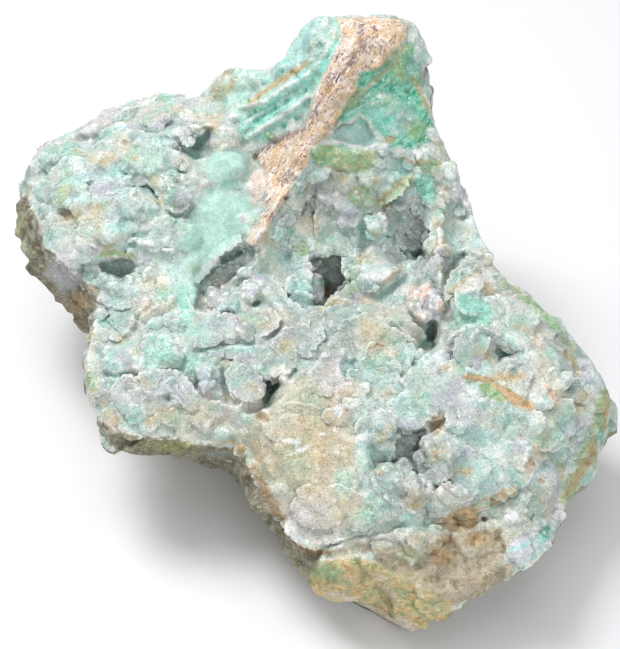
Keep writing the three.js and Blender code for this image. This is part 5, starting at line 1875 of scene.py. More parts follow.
HABITS = (
    Habit("left lobe, back", Side.LEFT, (118, 128), (74, 22), 26, (2.6, 4.8), 1.6, 80, 30, (3, 10),
         (0.7, 1.2), -22),
    Habit("left lobe, middle", Side.LEFT, (112, 172), (86, 36), 38, (2.6, 5.0), 1.6, 82, 30, (3, 10),
         (0.7, 1.2), -12),
    Habit("left lobe, knobs", Side.LEFT, (168, 158), (34, 44), 24, (2.0, 4.0), 1.3, 95, 50, (4, 14),
         (0.8, 1.4)),
    Habit("left lobe, low", Side.LEFT, (108, 226), (72, 26), 24, (2.2, 4.4), 1.6, 85, 30, (3, 10),
         (0.6, 1.0), 8),
    Habit("round the green cavity", Side.LEFT, (116, 268), (44, 26), 26, (0.8, 1.9), 1.4, 90, 40, (6, 20),
         (0.4, 0.7), 0, 0.55, True),
    Habit("peach and grey patches", Side.LEFT, (135, 302), (46, 22), 16, (1.6, 3.6), 1.3, 80, 60),
    Habit("lower left lobe", Side.LEFT, (150, 368), (66, 54), 46, (1.6, 4.2), 1.3, 90, 80, (4, 14), turn=20),
    Habit("lower left rim", Side.LEFT, (150, 420), (78, 14), 30, (1.0, 2.6), 1.3, 95, 40, (6, 18), turn=6),
    Habit("ledge under the sheet", Side.LEFT, (196, 330), (22, 40), 16, (1.4, 3.0), 1.2, 60, 60, (6, 20)),
    Habit("sheet vug lining", Side.MIDDLE, (222, 284), (30, 25), 46, (0.8, 1.7), 1.1, 90, 180, (0, 16),
         (0.6, 1.2), lining=True),
    Habit("under the sheet vug", Side.MIDDLE, (228, 322), (52, 24), 34, (1.5, 3.6), 1.5, 100, 50, (5, 18)),
    Habit("between the lobes", Side.MIDDLE, (272, 318), (50, 44), 50, (1.5, 4.2), 1.3, 110, 60, (5, 22)),
    Habit("low curled plates", Side.MIDDLE, (268, 372), (50, 30), 30, (1.5, 3.6), 1.4, 100, 50, (6, 22),
         turn=-30),
    Habit("round the window", Side.MIDDLE, (329, 276), (38, 40), 34, (1.0, 2.4), 1.2, 90, 25, (6, 22),
         (0.3, 0.6), 0, 0.6, True),
    Habit("cream clusters", Side.MIDDLE, (304, 232), (26, 22), 44, (0.6, 1.6), 1.1, 90, 120, (5, 30),
         (0.4, 0.8)),
    Habit("basin", Side.MIDDLE, (345, 198), (62, 34), 70, (0.9, 3.0), 1.2, 90, 100, (5, 26), (0.4, 0.9),
         lining=True),
    Habit("grape cavity", Side.MIDDLE, (402, 230), (28, 24), 80, (0.7, 1.4), 1.05, 90, 180, (0, 20),
         (0.6, 1.1), lining=True),
    Habit("rib and shelf", Side.MIDDLE, (436, 220), (16, 58), 30, (1.4, 2.8), 1.3, 170, 80, (4, 16),
         (0.5, 0.8)),
    Habit("right edge", Side.MIDDLE, (462, 214), (15, 52), 36, (0.9, 2.4), 1.2, 40, 80, (5, 24), (0.4, 0.8),
         -16),
    Habit("under the mint lobe", Side.MIDDLE, (368, 292), (36, 12), 14, (1.2, 2.8), 1.3, 90, 50),
    Habit("tan plate", Side.MIDDLE, (365, 330), (60, 22), 12, (2.0, 4.2), 1.5, 95, 40, (2, 7)),
    Habit("peak's foot", Side.MIDDLE, (400, 160), (34, 22), 26, (0.8, 2.2), 1.3, 110, 60, (5, 24),
         (0.4, 0.7)),
    Habit("right lobe, upper", Side.RIGHT, (500, 308), (50, 46), 34, (1.8, 4.2), 1.3, 100, 80, (3, 14),
         turn=40),
    Habit("right lobe, middle", Side.RIGHT, (478, 388), (100, 44), 80, (1.3, 4.0), 1.3, 100, 80, (4, 16),
         turn=14),
    Habit("right lobe, low", Side.RIGHT, (500, 458), (78, 48), 64, (1.3, 4.0), 1.3, 100, 70, (4, 16),
         turn=-10),
    Habit("right rim", Side.RIGHT, (585, 410), (22, 50), 34, (1.0, 2.6), 1.3, 60, 80, (5, 24), turn=10),
    Habit("mottled middle", Side.RIGHT, (392, 386), (50, 42), 46, (1.2, 3.4), 1.2, 100, 90, (5, 18)),
    Habit("low vug floor", Side.RIGHT, (416, 462), (26, 28), 40, (0.8, 2.0), 1.1, 90, 120, (5, 30),
         (0.5, 0.9), lining=True),
    Habit("round the low vug", Side.RIGHT, (412, 452), (44, 44), 32, (1.0, 2.6), 1.2, 90, 25, (6, 22),
         (0.3, 0.6), 0, 0.65, True),
    Habit("lower plate", Side.RIGHT, (312, 452), (48, 80), 12, (2.0, 4.4), 1.4, 100, 40, (1, 4), (0.3, 0.5),
         -16),
    Habit("apron", Side.RIGHT, (470, 536), (92, 40), 120, (0.8, 2.4), 1.4, 95, 50, (5, 20), (0.4, 0.8), -12),
    Habit("shelf over the apron", Side.RIGHT, (440, 502), (100, 12), 30, (1.0, 2.4), 1.5, 95, 30, (6, 20),
         (0.4, 0.7), -6),
)
KNOBS = (
    knobs("pink cluster", Side.MIDDLE, (424, 302), (16, 15), 15, (1.5, 2.2), (1.8, 2.6)),
    knobs("knobs in the sheet vug", Side.MIDDLE, (222, 292), (18, 15), 9, (1.3, 2.1), (1.1, 1.8)),
    knobs("lilac knobs", Side.MIDDLE, (250, 290), (6, 5), 3, (1.8, 2.3), (1.5, 2.0)),
    knobs("teal knobs by the great vug", Side.MIDDLE, (305, 290), (12, 12), 7, (1.8, 2.8), (1.4, 2.2)),
    knobs("knobs in the basin", Side.MIDDLE, (328, 200), (14, 12), 8, (1.6, 2.6), (1.3, 2.1)),
    knobs("blue knobs", Side.LEFT, (206, 374), (13, 11), 12, (1.4, 2.1), (1.2, 1.8)),
    knobs("mint knobs", Side.LEFT, (158, 350), (13, 12), 7, (1.8, 3.2), (1.2, 1.8), 1.2, lining=False),
    knobs("knobs of the low vug", Side.RIGHT, (438, 460), (14, 18), 12, (1.8, 3.0), (1.0, 1.6), 1.1, 14),
    knobs("knobs left of the low vug", Side.RIGHT, (396, 478), (22, 10), 12, (1.5, 2.6), (1.1, 1.7), 1.1, 10),
)
LIPS = (
    Lip(0.85, ((193, 285), (199, 284), (205, 277), (211, 268), (217, 258), (224, 252), (236, 247),
         (241, 241), (243, 232))),
    Lip(0, ((232, 297), (226, 299), (221, 301), (216, 306), (210, 311), (203, 313), (195, 311), (191, 303),
         (192, 294))),
    Lip(0.9, ((258, 341), (270, 334), (278, 326), (281, 318), (275, 311), (266, 306))),
    Lip(0.8, ((311, 312), (301, 306), (292, 301), (286, 294), (283, 284))),
    Lip(1.0, ((312, 354), (316, 347), (324, 341), (326, 335), (321, 326), (323, 319), (321, 313),
         (315, 311))),
    Lip(1.4, ((262, 371), (267, 379), (274, 384), (280, 383), (284, 375), (291, 369), (301, 364))),
    Lip(1.6, ((240, 360), (231, 364), (225, 372), (226, 383), (229, 393), (233, 402))),
    Lip(1.2, ((262, 402), (266, 394), (268, 386), (264, 378))),
    Lip(0, ((306, 257), (315, 254), (322, 253), (330, 256), (338, 253))),
    Lip(0, ((339, 254), (341, 262), (343, 272), (347, 279), (344, 283), (338, 287), (335, 292), (338, 298),
         (342, 301))),
    Lip(0, ((342, 300), (336, 304), (327, 308), (318, 311))),
    Lip(0.8, ((303, 281), (306, 275), (312, 272), (318, 267), (321, 260), (317, 257))),
    Lip(0.6, ((408, 262), (403, 255), (394, 247), (386, 239), (380, 233))),
    Lip(0.8, ((376, 221), (360, 225), (345, 220), (328, 222), (316, 226))),
    Lip(0, ((427, 258), (420, 258), (414, 263), (408, 262))),
    Lip(0.6, ((429, 215), (430, 232), (428, 246), (426, 258))),
    Lip(1.0, ((427, 343), (426, 335), (419, 327), (412, 320), (405, 312), (398, 307), (386, 307))),
    Lip(0.6, ((205, 340), (222, 340), (240, 338), (254, 337))),
    Lip(0.6, ((212, 359), (228, 359), (245, 356))),
    Lip(1.0, ((302, 205), (308, 202), (314, 196), (317, 188), (319, 181))),
    Lip(0.8, ((383, 206), (395, 199), (405, 190), (412, 178))),
    Lip(0.8, ((448, 212), (455, 215), (463, 216), (469, 210))),
    Lip(1.2, ((470, 252), (461, 262), (453, 270), (448, 280), (446, 290), (446, 300), (452, 304))),
    Lip(0.8, ((472, 307), (480, 312), (488, 316), (494, 322), (494, 330))),
    Lip(0.9, ((500, 333), (490, 329), (478, 325), (466, 323), (461, 328), (452, 335), (446, 341),
         (448, 350))),
    Lip(0.8, ((448, 350), (456, 354), (464, 357), (474, 357))),
    Lip(0, ((397, 428), (402, 435), (410, 434), (417, 430), (424, 427), (428, 421), (436, 418))),
    Lip(1.2, ((383, 463), (390, 461), (394, 455), (394, 445), (398, 437))),
    Lip(1.2, ((424, 486), (416, 478), (408, 472), (400, 465), (390, 464), (382, 467), (374, 469))),
    Lip(1.2, ((428, 437), (422, 444), (421, 454), (426, 462), (430, 470), (434, 478), (442, 481),
         (452, 479))),
    Lip(0.7, ((462, 443), (455, 439), (446, 437), (437, 434), (428, 434))),
    Lip(1.0, ((444, 410), (446, 418), (450, 426), (446, 434))),
    Lip(0.7, ((458, 486), (450, 482), (442, 484), (437, 490))),
    Lip(0.4, ((318, 545), (345, 540), (362, 535), (380, 530))),
    Lip(0.4, ((432, 527), (445, 519), (462, 508), (480, 500), (497, 492))),
    Lip(0.8, ((400, 498), (402, 510), (410, 520), (424, 527))),
    Lip(0, ((232, 447), (245, 462), (258, 487), (275, 517), (298, 546), (320, 552))),
    Lip(1.0, ((76, 133), (83, 137), (92, 139), (100, 138))),
    Lip(1.2, ((150, 181), (156, 186), (158, 197), (164, 206), (171, 212), (180, 214), (188, 208),
         (193, 200))),
    Lip(0.8, ((128, 181), (137, 182), (146, 181))),
    Lip(0.8, ((120, 207), (128, 209), (136, 206))),
    Lip(0.8, ((84, 232), (84, 240), (90, 246), (100, 249))),
    Lip(0.9, ((120, 241), (128, 243), (138, 240))),
    Lip(0.8, ((158, 242), (165, 245), (172, 242))),
    Lip(0.9, ((175, 170), (182, 171), (190, 167))),
    Lip(1.2, ((173, 128), (178, 136), (181, 143), (188, 146), (195, 142), (197, 137))),
    Lip(0.7, ((60, 182), (75, 182), (92, 181), (100, 177))),
    Lip(1.0, ((104, 337), (113, 341), (122, 339), (129, 331), (135, 321), (138, 316))),
    Lip(0.9, ((172, 301), (160, 305), (150, 309), (142, 316), (137, 322))),
    Lip(1.3, ((141, 374), (130, 378), (116, 379), (102, 377))),
    Lip(0.9, ((179, 357), (176, 349), (172, 340), (167, 335), (158, 335), (152, 338))),
    Lip(1.2, ((203, 396), (196, 391), (190, 384), (187, 376), (180, 373))),
    Lip(0.7, ((244, 404), (233, 407), (220, 402), (205, 399))),
    Lip(0, ((92, 410), (103, 421), (117, 430), (131, 437), (146, 437), (165, 438), (184, 442))),
    Lip(0, ((97, 338), (91, 345), (88, 358), (88, 372), (96, 388))),
    Lip(0.7, ((98, 318), (106, 317), (110, 311), (110, 304))),
    Lip(0.6, ((186, 374), (176, 369), (165, 369), (152, 374))),
)


@dataclass(frozen=True)
class Met:
    """What a look from the eye meets.

    Attributes:
        at: The place, in millimetres.
        normal: The way the surface faces there.
        crusty: How far it is drusy crust.
        tint: Its colour, as it is laid on the mesh.
        away: How far it is from the eye, in millimetres.
    """

    at: Array
    normal: Array
    crusty: float
    tint: Array
    away: float


class Bed:
    """A finished surface as it is met from the eye."""

    def __init__(self, sight: Sight, piece: bpy.types.Object) -> None:
        """Takes the surface of a painted piece.

        Args:
            sight: Where it is looked at from.
            piece: The piece.
        """
        self.sight = sight
        self.eye = Vector(sight.eye_mm * MM)
        self.tree = BVHTree.FromObject(piece, bpy.context.evaluated_depsgraph_get())
        mesh = piece.data
        others = sum(self.values(mesh, name).sum(axis=1) for name in ("grain_one", "grain_two"))
        first = np.array([face.vertices[0] for face in mesh.polygons])
        self.crusty = 1 - others[first]
        self.tint = self.values(mesh, "tint")[first]

    @staticmethod
    def values(mesh: bpy.types.Mesh, name: str) -> Array:
        """Reads back one of a mesh's colour attributes.

        Args:
            mesh: The mesh.
            name: The attribute's name.

        Returns:
            One row of three for each point.
        """
        rows = np.empty(len(mesh.vertices) * 4, np.float32)
        mesh.attributes[name].data.foreach_get("color", rows)
        return rows.reshape(-1, 4)[:, :3]

    def under(self, x: float, y: float) -> Met | None:
        """Finds what lies under a view point.

        Args:
            x: The view point across.
            y: The view point down.

        Returns:
            What is met there, if anything is.
        """
        hit, normal, face, away = self.tree.ray_cast(self.eye, Vector(self.sight.ray(x, y)))
        if hit is None:
            return None
        return Met(np.array(hit) / MM, np.array(normal), self.crusty[face], self.tint[face], away / MM)

    def holds(self, x: float, y: float, room: float) -> Met | None:
        """Finds what lies under a view point that has some surface all round it.

        Args:
            x: The view point across.
            y: The view point down.
            room: How far round it the surface has to reach, in view points.

        Returns:
            What is met there, if anything is.
        """
        met = self.under(x, y)
        for across, down in ((room, 0), (-room, 0), (0, room), (0, -room)):
            if met is not None and self.under(x + across, y + down) is None:
                return None
        return met


@dataclass
class Edges:
    """The thin free edges of the crust's sheets: one closed strip along each lip, scalloped and wavy.

    Attributes:
        painter: Lays the coat.
        spacing: Distance between sections, in view points.
        scallop_mm: The narrowest and the widest scallop.
        jut_mm: How far the shallowest and the deepest scallop stand out.
        wave_mm: How far the edge waves up and down.
        taper_mm: Length over which a strip runs out at its ends.
        evened: How many sections the lie of the stone is evened over.
    """

    painter: Painter
    spacing: float = 1.0
    scallop_mm: tuple[float, float] = (0.9, 2.4)
    jut_mm: tuple[float, float] = (0.25, 0.8)
    wave_mm: float = 0.3
    taper_mm: float = 1.4
    evened: int = 9

    # Each row of a section: how far ahead of the route it is in millimetres, how high it stands over the
    # stone, and how far the scallops move it.
    ROWS = ((-3.4, -0.7, 0.0), (-2.4, -0.12, 0.0), (-1.6, 0.24, 0.2), (-0.9, 0.45, 0.45), (-0.35, 0.56, 0.8),
            (-0.06, 0.52, 1.0), (0.0, 0.4, 1.0), (-0.14, 0.26, 1.0), (-0.8, 0.0, 0.6), (-1.8, -0.5, 0.2),
            (-3.2, -1.4, 0.0))
    # How pale each row is painted, a highlight that is brightest along the thin edge.
    EDGE_HIGHLIGHT = (0.0, 0.0, 0.05, 0.12, 0.4, 0.8, 0.85, 0.4, 0.0, 0.0, 0.0)

    def build(self, stone: bpy.types.Object) -> bpy.types.Object:
        """Grows the edges.

        Args:
            stone: The stone they grow on.

        Returns:
            Them all, as one piece.
        """
        bed = Bed(self.painter.geologist.sight, stone)
        draw = np.random.default_rng(Seed.SCALLOPS)
        corners, faces, count = [], [], 0
        for lip in LIPS:
            for back, scale in ((0.0, 1.0), (2.6, 0.8))[:2 if lip.gap >= 0.9 else 1]:
                strip = self.strip(lip, bed, back, scale, draw)
                if strip is not None:
                    corners.append(strip[0])
                    faces.append(strip[1] + count)
                    count += len(strip[0])
        piece = new_piece("crust_edges", np.concatenate(corners) * MM, np.concatenate(faces))
        # The rows along the free edge get painted highlight.
        self.painter.paint(piece, 0.3, True, np.tile(self.EDGE_HIGHLIGHT, count // len(self.EDGE_HIGHLIGHT)))
        return piece

    def strip(self, lip: Lip, bed: Bed, back: float, scale: float,
              draw: np.random.Generator) -> tuple[Array, Array] | None:
        """Makes one strip.

        Args:
            lip: The lip it runs along.
            bed: The stone's surface.
            back: How far behind the lip it runs, in millimetres.
            scale: Its size against a whole strip's.
            draw: Where the random draws come from.

        Returns:
            Its corners in millimetres and its triangles, or nothing where there is no stone.
        """
        sight = self.painter.geologist.sight
        steps = np.array(lip.steps(self.spacing))
        facing = np.radians(self.even(np.unwrap(steps[:, 2], period=360), 7))
        ahead_x, ahead_y = np.cos(facing), np.sin(facing)
        depths = []
        for behind in (1.2 + back, 3.0 + back):
            shift = behind / sight.point_mm
            met = [bed.under(x - ax * shift, y - ay * shift)
                   for (x, y, _), ax, ay in zip(steps, ahead_x, ahead_y)]
            if None in met:
                return None
            depths.append(self.even(np.array([place.away for place in met]), self.evened))
        slope = np.clip((depths[0] - depths[1]) / 1.8, -0.5, 0.5)
        length = np.arange(len(steps)) * self.spacing * sight.point_mm
        jut, curl = self.scallops(length, draw)
        place = np.stack([length, np.full(len(length), draw.uniform(0, 400)), np.zeros(len(length))], axis=1)
        wave = Noise.soft(place, 3.2, Seed.EDGE_WAVES, 2) * self.wave_mm * 1.6 + curl
        wander = Noise.soft(place, 6, Seed.EDGE_WANDER, 2) * 0.7
        end = ramp(np.minimum(length, length[-1] - length), 0, self.taper_mm)
        rows = []
        for ahead, high, moved in self.ROWS:
            out = (ahead + (jut + wander) * moved) * scale - back - (1 - end) * 0.8 * moved
            rise = high * scale + wave * moved * scale - (1 - end) * 0.9
            depth = depths[0] + slope * (out + 1.2 + back) - rise
            x = steps[:, 0] + ahead_x * out / sight.point_mm
            y = steps[:, 1] + ahead_y * out / sight.point_mm
            rays = np.array([sight.ray(a, b) for a, b in zip(x, y)])
            rows.append(sight.eye_mm + rays * depth[:, None])
        corners = np.stack(rows, axis=1).reshape(-1, 3)
        return corners, self.wrapped(len(steps), len(self.ROWS))

    @staticmethod
    def even(values: Array, width: int) -> Array:
        """Evens a row of values out.

        Args:
            values: The values.
            width: How many neighbours each is averaged with, an odd number.

        Returns:
            The evened values.
        """
        half = width // 2
        padded = np.concatenate([np.full(half, values[0]), values, np.full(half, values[-1])])
        return np.convolve(padded, np.ones(width) / width, "valid")

    def scallops(self, length: Array, draw: np.random.Generator) -> tuple[Array, Array]:
        """Cuts an edge into rounded scallops.

        Args:
            length: How far along the strip each section is, in millimetres.
            draw: Where the random draws come from.

        Returns:
            How far the edge juts out at each section, and how far it is curled up, in millimetres.
        """
        jut, curl = np.zeros(len(length)), np.zeros(len(length))
        start = 0.0
        while start < length[-1]:
            wide = draw.uniform(*self.scallop_mm)
            across = (length - start - wide / 2) / (wide / 2)
            inside = np.abs(across) <= 1
            round_off = np.sqrt(np.clip(1 - across[inside] ** 2, 0, 1))
            jut[inside] = draw.uniform(*self.jut_mm) * round_off - 0.35
            curl[inside] = draw.uniform(-0.14, 0.22) * round_off
            start += wide
        return jut, curl

    @staticmethod
    def wrapped(sections: int, rows: int) -> Array:
        """Closes a strip: its sides, and a fan over each end.

        Args:
            sections: How many sections it has.
            rows: How many corners each section has, in order round it.

        Returns:
            Its triangles.
        """
        faces = []
        for section in range(sections - 1):
            for row in range(rows):
                a = section * rows + row
                b = section * rows + (row + 1) % rows
                faces += [(a, b, b + rows), (a, b + rows, a + rows)]
        last = (sections - 1) * rows
        for row in range(1, rows - 1):
            faces += [(0, row + 1, row), (last, last + row, last + row + 1)]
        return np.array(faces)


@dataclass
class Crust:
    """The thin curled plates and knobs of the crust, grown together over the stone.

    Attributes:
        painter: Lays the coat.
        trenches: The falls in front of the sheets' free edges, which the plates keep clear of.
        shapes: How many different outlines the plates have.
        voxel: Fineness of the mesh they are melted into.
        most_triangles: What each piece is thinned to.
        hollow_mm: How deep a mark goes in, below 0, for the plates to keep clear of it.
        crusty: How far a place has to be drusy crust for a plate to grow there.
    """

    painter: Painter
    trenches: tuple[Mark, ...]
    shapes: int = 10
    voxel: float = 0.29 * MM
    most_triangles: int = 194000
    hollow_mm: float = -1.2
    crusty: float = 0.5

    def build(self, stone: bpy.types.Object) -> list[bpy.types.Object]:
        """Grows the crust.

        Args:
            stone: The stone it grows on.

        Returns:
            Its pieces.
        """
        bed = Bed(self.painter.geologist.sight, stone)
        draw = np.random.default_rng(Seed.PLACES)
        outlines, triangles = self.outlines(draw)
        pieces = []
        for side in Side:
            points = []
            for habit in HABITS + KNOBS:
                if habit.side is side:
                    points += self.scatter(habit, bed, outlines, draw)
            count = outlines[0].shape[0]
            faces = triangles[None] + count * np.arange(len(points))[:, None, None]
            piece = new_piece(side.value, np.concatenate(points), faces.reshape(-1, 3))
            Bench.remesh(piece, self.voxel)
            self.work_grain(piece)
            skin = Skin.of(piece)
            facing = np.einsum("ij,ij->i", skin.normal, self.painter.geologist.sight.towards_eye(skin.at))
            Bench.thin(piece, 0.1 + 0.9 * ramp(facing, -0.35, 0.15), self.most_triangles)
            Bench.mend(piece)
            self.painter.paint(piece, 0.36, True)
            pieces.append(piece)
        return pieces

    def outlines(self, draw: np.random.Generator) -> tuple[list[Array], Array]:
        """Shapes the plates' outlines out of a ball: flat, domed, and scalloped round the edge.

        Args:
            draw: Where the random draws come from.

        Returns:
            Corners of each outline, one across and one thick, and the triangles they share.
        """
        bpy.ops.object.select_all(action="DESELECT")
        bpy.ops.mesh.primitive_ico_sphere_add(subdivisions=3, radius=1)
        ball = bpy.context.object
        corner = np.array([v.co for v in ball.data.vertices])
        triangles = np.array([p.vertices for p in ball.data.polygons])
        bpy.data.objects.remove(ball)
        angle = np.arctan2(corner[:, 1], corner[:, 0])
        reach = np.hypot(corner[:, 0], corner[:, 1])
        made = []
        for _ in range(self.shapes):
            start = draw.uniform(0, 2 * math.pi, 4)
            lobes = draw.integers(7, 12)
            out = 1 + 0.14 * np.sin(2 * angle + start[0]) + 0.1 * np.sin(3 * angle + start[1])
            out = out + 0.2 * (np.abs(np.sin(lobes * angle / 2 + start[2])) - 0.6) * ramp(reach, 0.3, 0.9)
            out = out * reach ** 0.7
            thick = np.sign(corner[:, 2]) * np.sqrt(np.clip(1 - reach ** 3, 0, 1))
            ripple = 0.25 * np.sin(3 * out * np.cos(angle) + start[3]) * np.cos(3.4 * out * np.sin(angle))
            thick = thick * (1 + ripple)
            made.append(np.stack([out * np.cos(angle), out * np.sin(angle), thick, 1 - reach ** 2], axis=1))
        return made, triangles

    def scatter(self, habit: Habit, bed: Bed, outlines: list[Array],
                draw: np.random.Generator) -> list[Array]:
        """Scatters one habit's plates over the stone.

        Args:
            habit: The habit.
            bed: The stone's surface.
            outlines: The plates' outlines.
            draw: Where the random draws come from.

        Returns:
            The corners of each plate, in metres.
        """
        turn = math.radians(habit.turn)
        angle = draw.uniform(0, 2 * math.pi, habit.count)
        reach = np.sqrt(draw.uniform(habit.hollow ** 2, 1, habit.count))
        along, over = np.cos(angle) * reach * habit.half[0], np.sin(angle) * reach * habit.half[1]
        x = habit.at[0] + along * math.cos(turn) - over * math.sin(turn)
        y = habit.at[1] + along * math.sin(turn) + over * math.cos(turn)
        least, most = habit.reach_mm
        size = draw.uniform(0, 1, habit.count) ** 1.5 * (most - least) + least
        heading = np.full(habit.count, float(habit.heading))
        if habit.inward:
            heading = np.degrees(np.arctan2(habit.at[1] - y, habit.at[0] - x))
        heading = heading + draw.uniform(-1, 1, habit.count) * habit.stray
        thick, lift = draw.uniform(*habit.thick_mm, habit.count), draw.uniform(*habit.lift, habit.count)
        bow = draw.uniform(0.02, 0.14, habit.count)
        kind = draw.integers(0, len(outlines), habit.count)
        clear = np.ones(habit.count, bool) if habit.lining else self.clear(x, y, size * 0.8 / self.point_mm)
        laid = []
        for number in np.nonzero(clear)[0]:
            met = bed.holds(x[number], y[number], size[number] * 0.9 / self.point_mm)
            if met is not None and met.crusty > self.crusty:
                shape = (size[number], habit.long, thick[number], lift[number], bow[number])
                laid.append(self.lay(met.at, met.normal, heading[number], shape, outlines[kind[number]]))
        return laid

    @property
    def point_mm(self) -> float:
        """How long a view point is on the stone, in millimetres."""
        return self.painter.geologist.sight.point_mm

    def clear(self, x: Array, y: Array, room: Array) -> Array:
        """Finds which places are clear of hollows.

        Args:
            x: View points across.
            y: View points down.
            room: How much room each needs, in view points.

        Returns:
            Whether each place is clear.
        """
        free = np.ones(len(x), bool)
        for mark in self.trenches + self.painter.geologist.marks:
            if mark.rise <= self.hollow_mm:
                free &= mark.apart(x, y) > room
        return free

    def lay(self, at: Array, normal: Array, heading: float, shape: tuple[float, float, float, float, float],
            outline: Array) -> Array:
        """Lays one plate on the stone.

        Args:
            at: Where it lies, in millimetres.
            normal: The way the stone faces there.
            heading: Which way its free edge faces, clockwise from the right of the view, in degrees.
            shape: Its radius in millimetres, how much longer it is than deep, half its thickness, its lift
                in degrees, and how far it is bowed.
            outline: Its outline.

        Returns:
            Its corners in metres.
        """
        sight = self.painter.geologist.sight
        size, long, thick, lift, bow = shape
        out = normal * 0.5 + sight.towards_eye(at[None])[0] * 0.5
        out = out / np.linalg.norm(out)
        angle = math.radians(heading)
        ahead = np.array([math.cos(angle), 0, 0]) - sight.up * math.sin(angle)
        ahead = ahead - out * (ahead @ out)
        ahead = ahead / np.linalg.norm(ahead)
        beside = np.cross(out, ahead)
        tip = math.radians(lift)
        leading = ahead * math.cos(tip) + out * math.sin(tip)
        square = out * math.cos(tip) - ahead * math.sin(tip)
        rise = outline[:, 2] * thick + outline[:, 3] * bow * size
        corners = at + leading * size * 0.3 + np.outer(outline[:, 0] * size, leading)
        corners = corners + np.outer(outline[:, 1] * size * long, beside) + np.outer(rise, square)
        return corners * MM

    def work_grain(self, piece: bpy.types.Object) -> None:
        """Works knobs and fine grain into the melted plates.

        Args:
            piece: The piece.
        """
        skin = Skin.of(piece)
        dome = Noise.knobs(skin.at, 1.7, Seed.CRUST_KNOBS, 0.13, 0.07)
        small = Noise.knobs(skin.at, 0.8, Seed.GRAINS, 0.05, 0.03)
        patchy = ramp(Noise.soft(skin.at, 5, Seed.SWELL), -0.35, 0.25)
        height = dome * patchy + small + Noise.soft(skin.at, 3, Seed.CRUST_SWELL, 2) * 0.2
        skin.at += skin.normal * height[:, None]
        skin.write(piece)


def new_piece(name: str, corners: Array, faces: Array) -> bpy.types.Object:
    """Makes a piece out of triangles.

    Args:
        name: The piece's name.
        corners: Its corners in metres, one row each.
        faces: Its triangles' corners, one row each.

    Returns:
        The piece.
    """
    mesh = bpy.data.meshes.new(name)
    mesh.vertices.add(len(corners))
    mesh.vertices.foreach_set("co", corners.astype(np.float32).ravel())
    mesh.loops.add(faces.size)
    mesh.loops.foreach_set("vertex_index", faces.astype(np.int32).ravel())
    mesh.polygons.add(len(faces))
    mesh.polygons.foreach_set("loop_start", np.arange(0, faces.size, 3, dtype=np.int32))
    mesh.update(calc_edges=True)
    piece = bpy.data.objects.new(name, mesh)
    bpy.context.scene.collection.objects.link(piece)
    return piece


def write_colours(mesh: bpy.types.Mesh, name: str, colours: Array) -> None:
    """Writes three values for each point of a mesh as a colour attribute.

    Args:
        mesh: The mesh.
        name: The attribute's name.
        colours: One row of three for each point.
    """
    layer = mesh.attributes.new(name, "FLOAT_COLOR", "POINT")
    rows = np.ones((len(colours), 4), np.float32)
    rows[:, :3] = np.clip(colours, 0, 1)
    layer.data.foreach_set("color", rows.ravel())


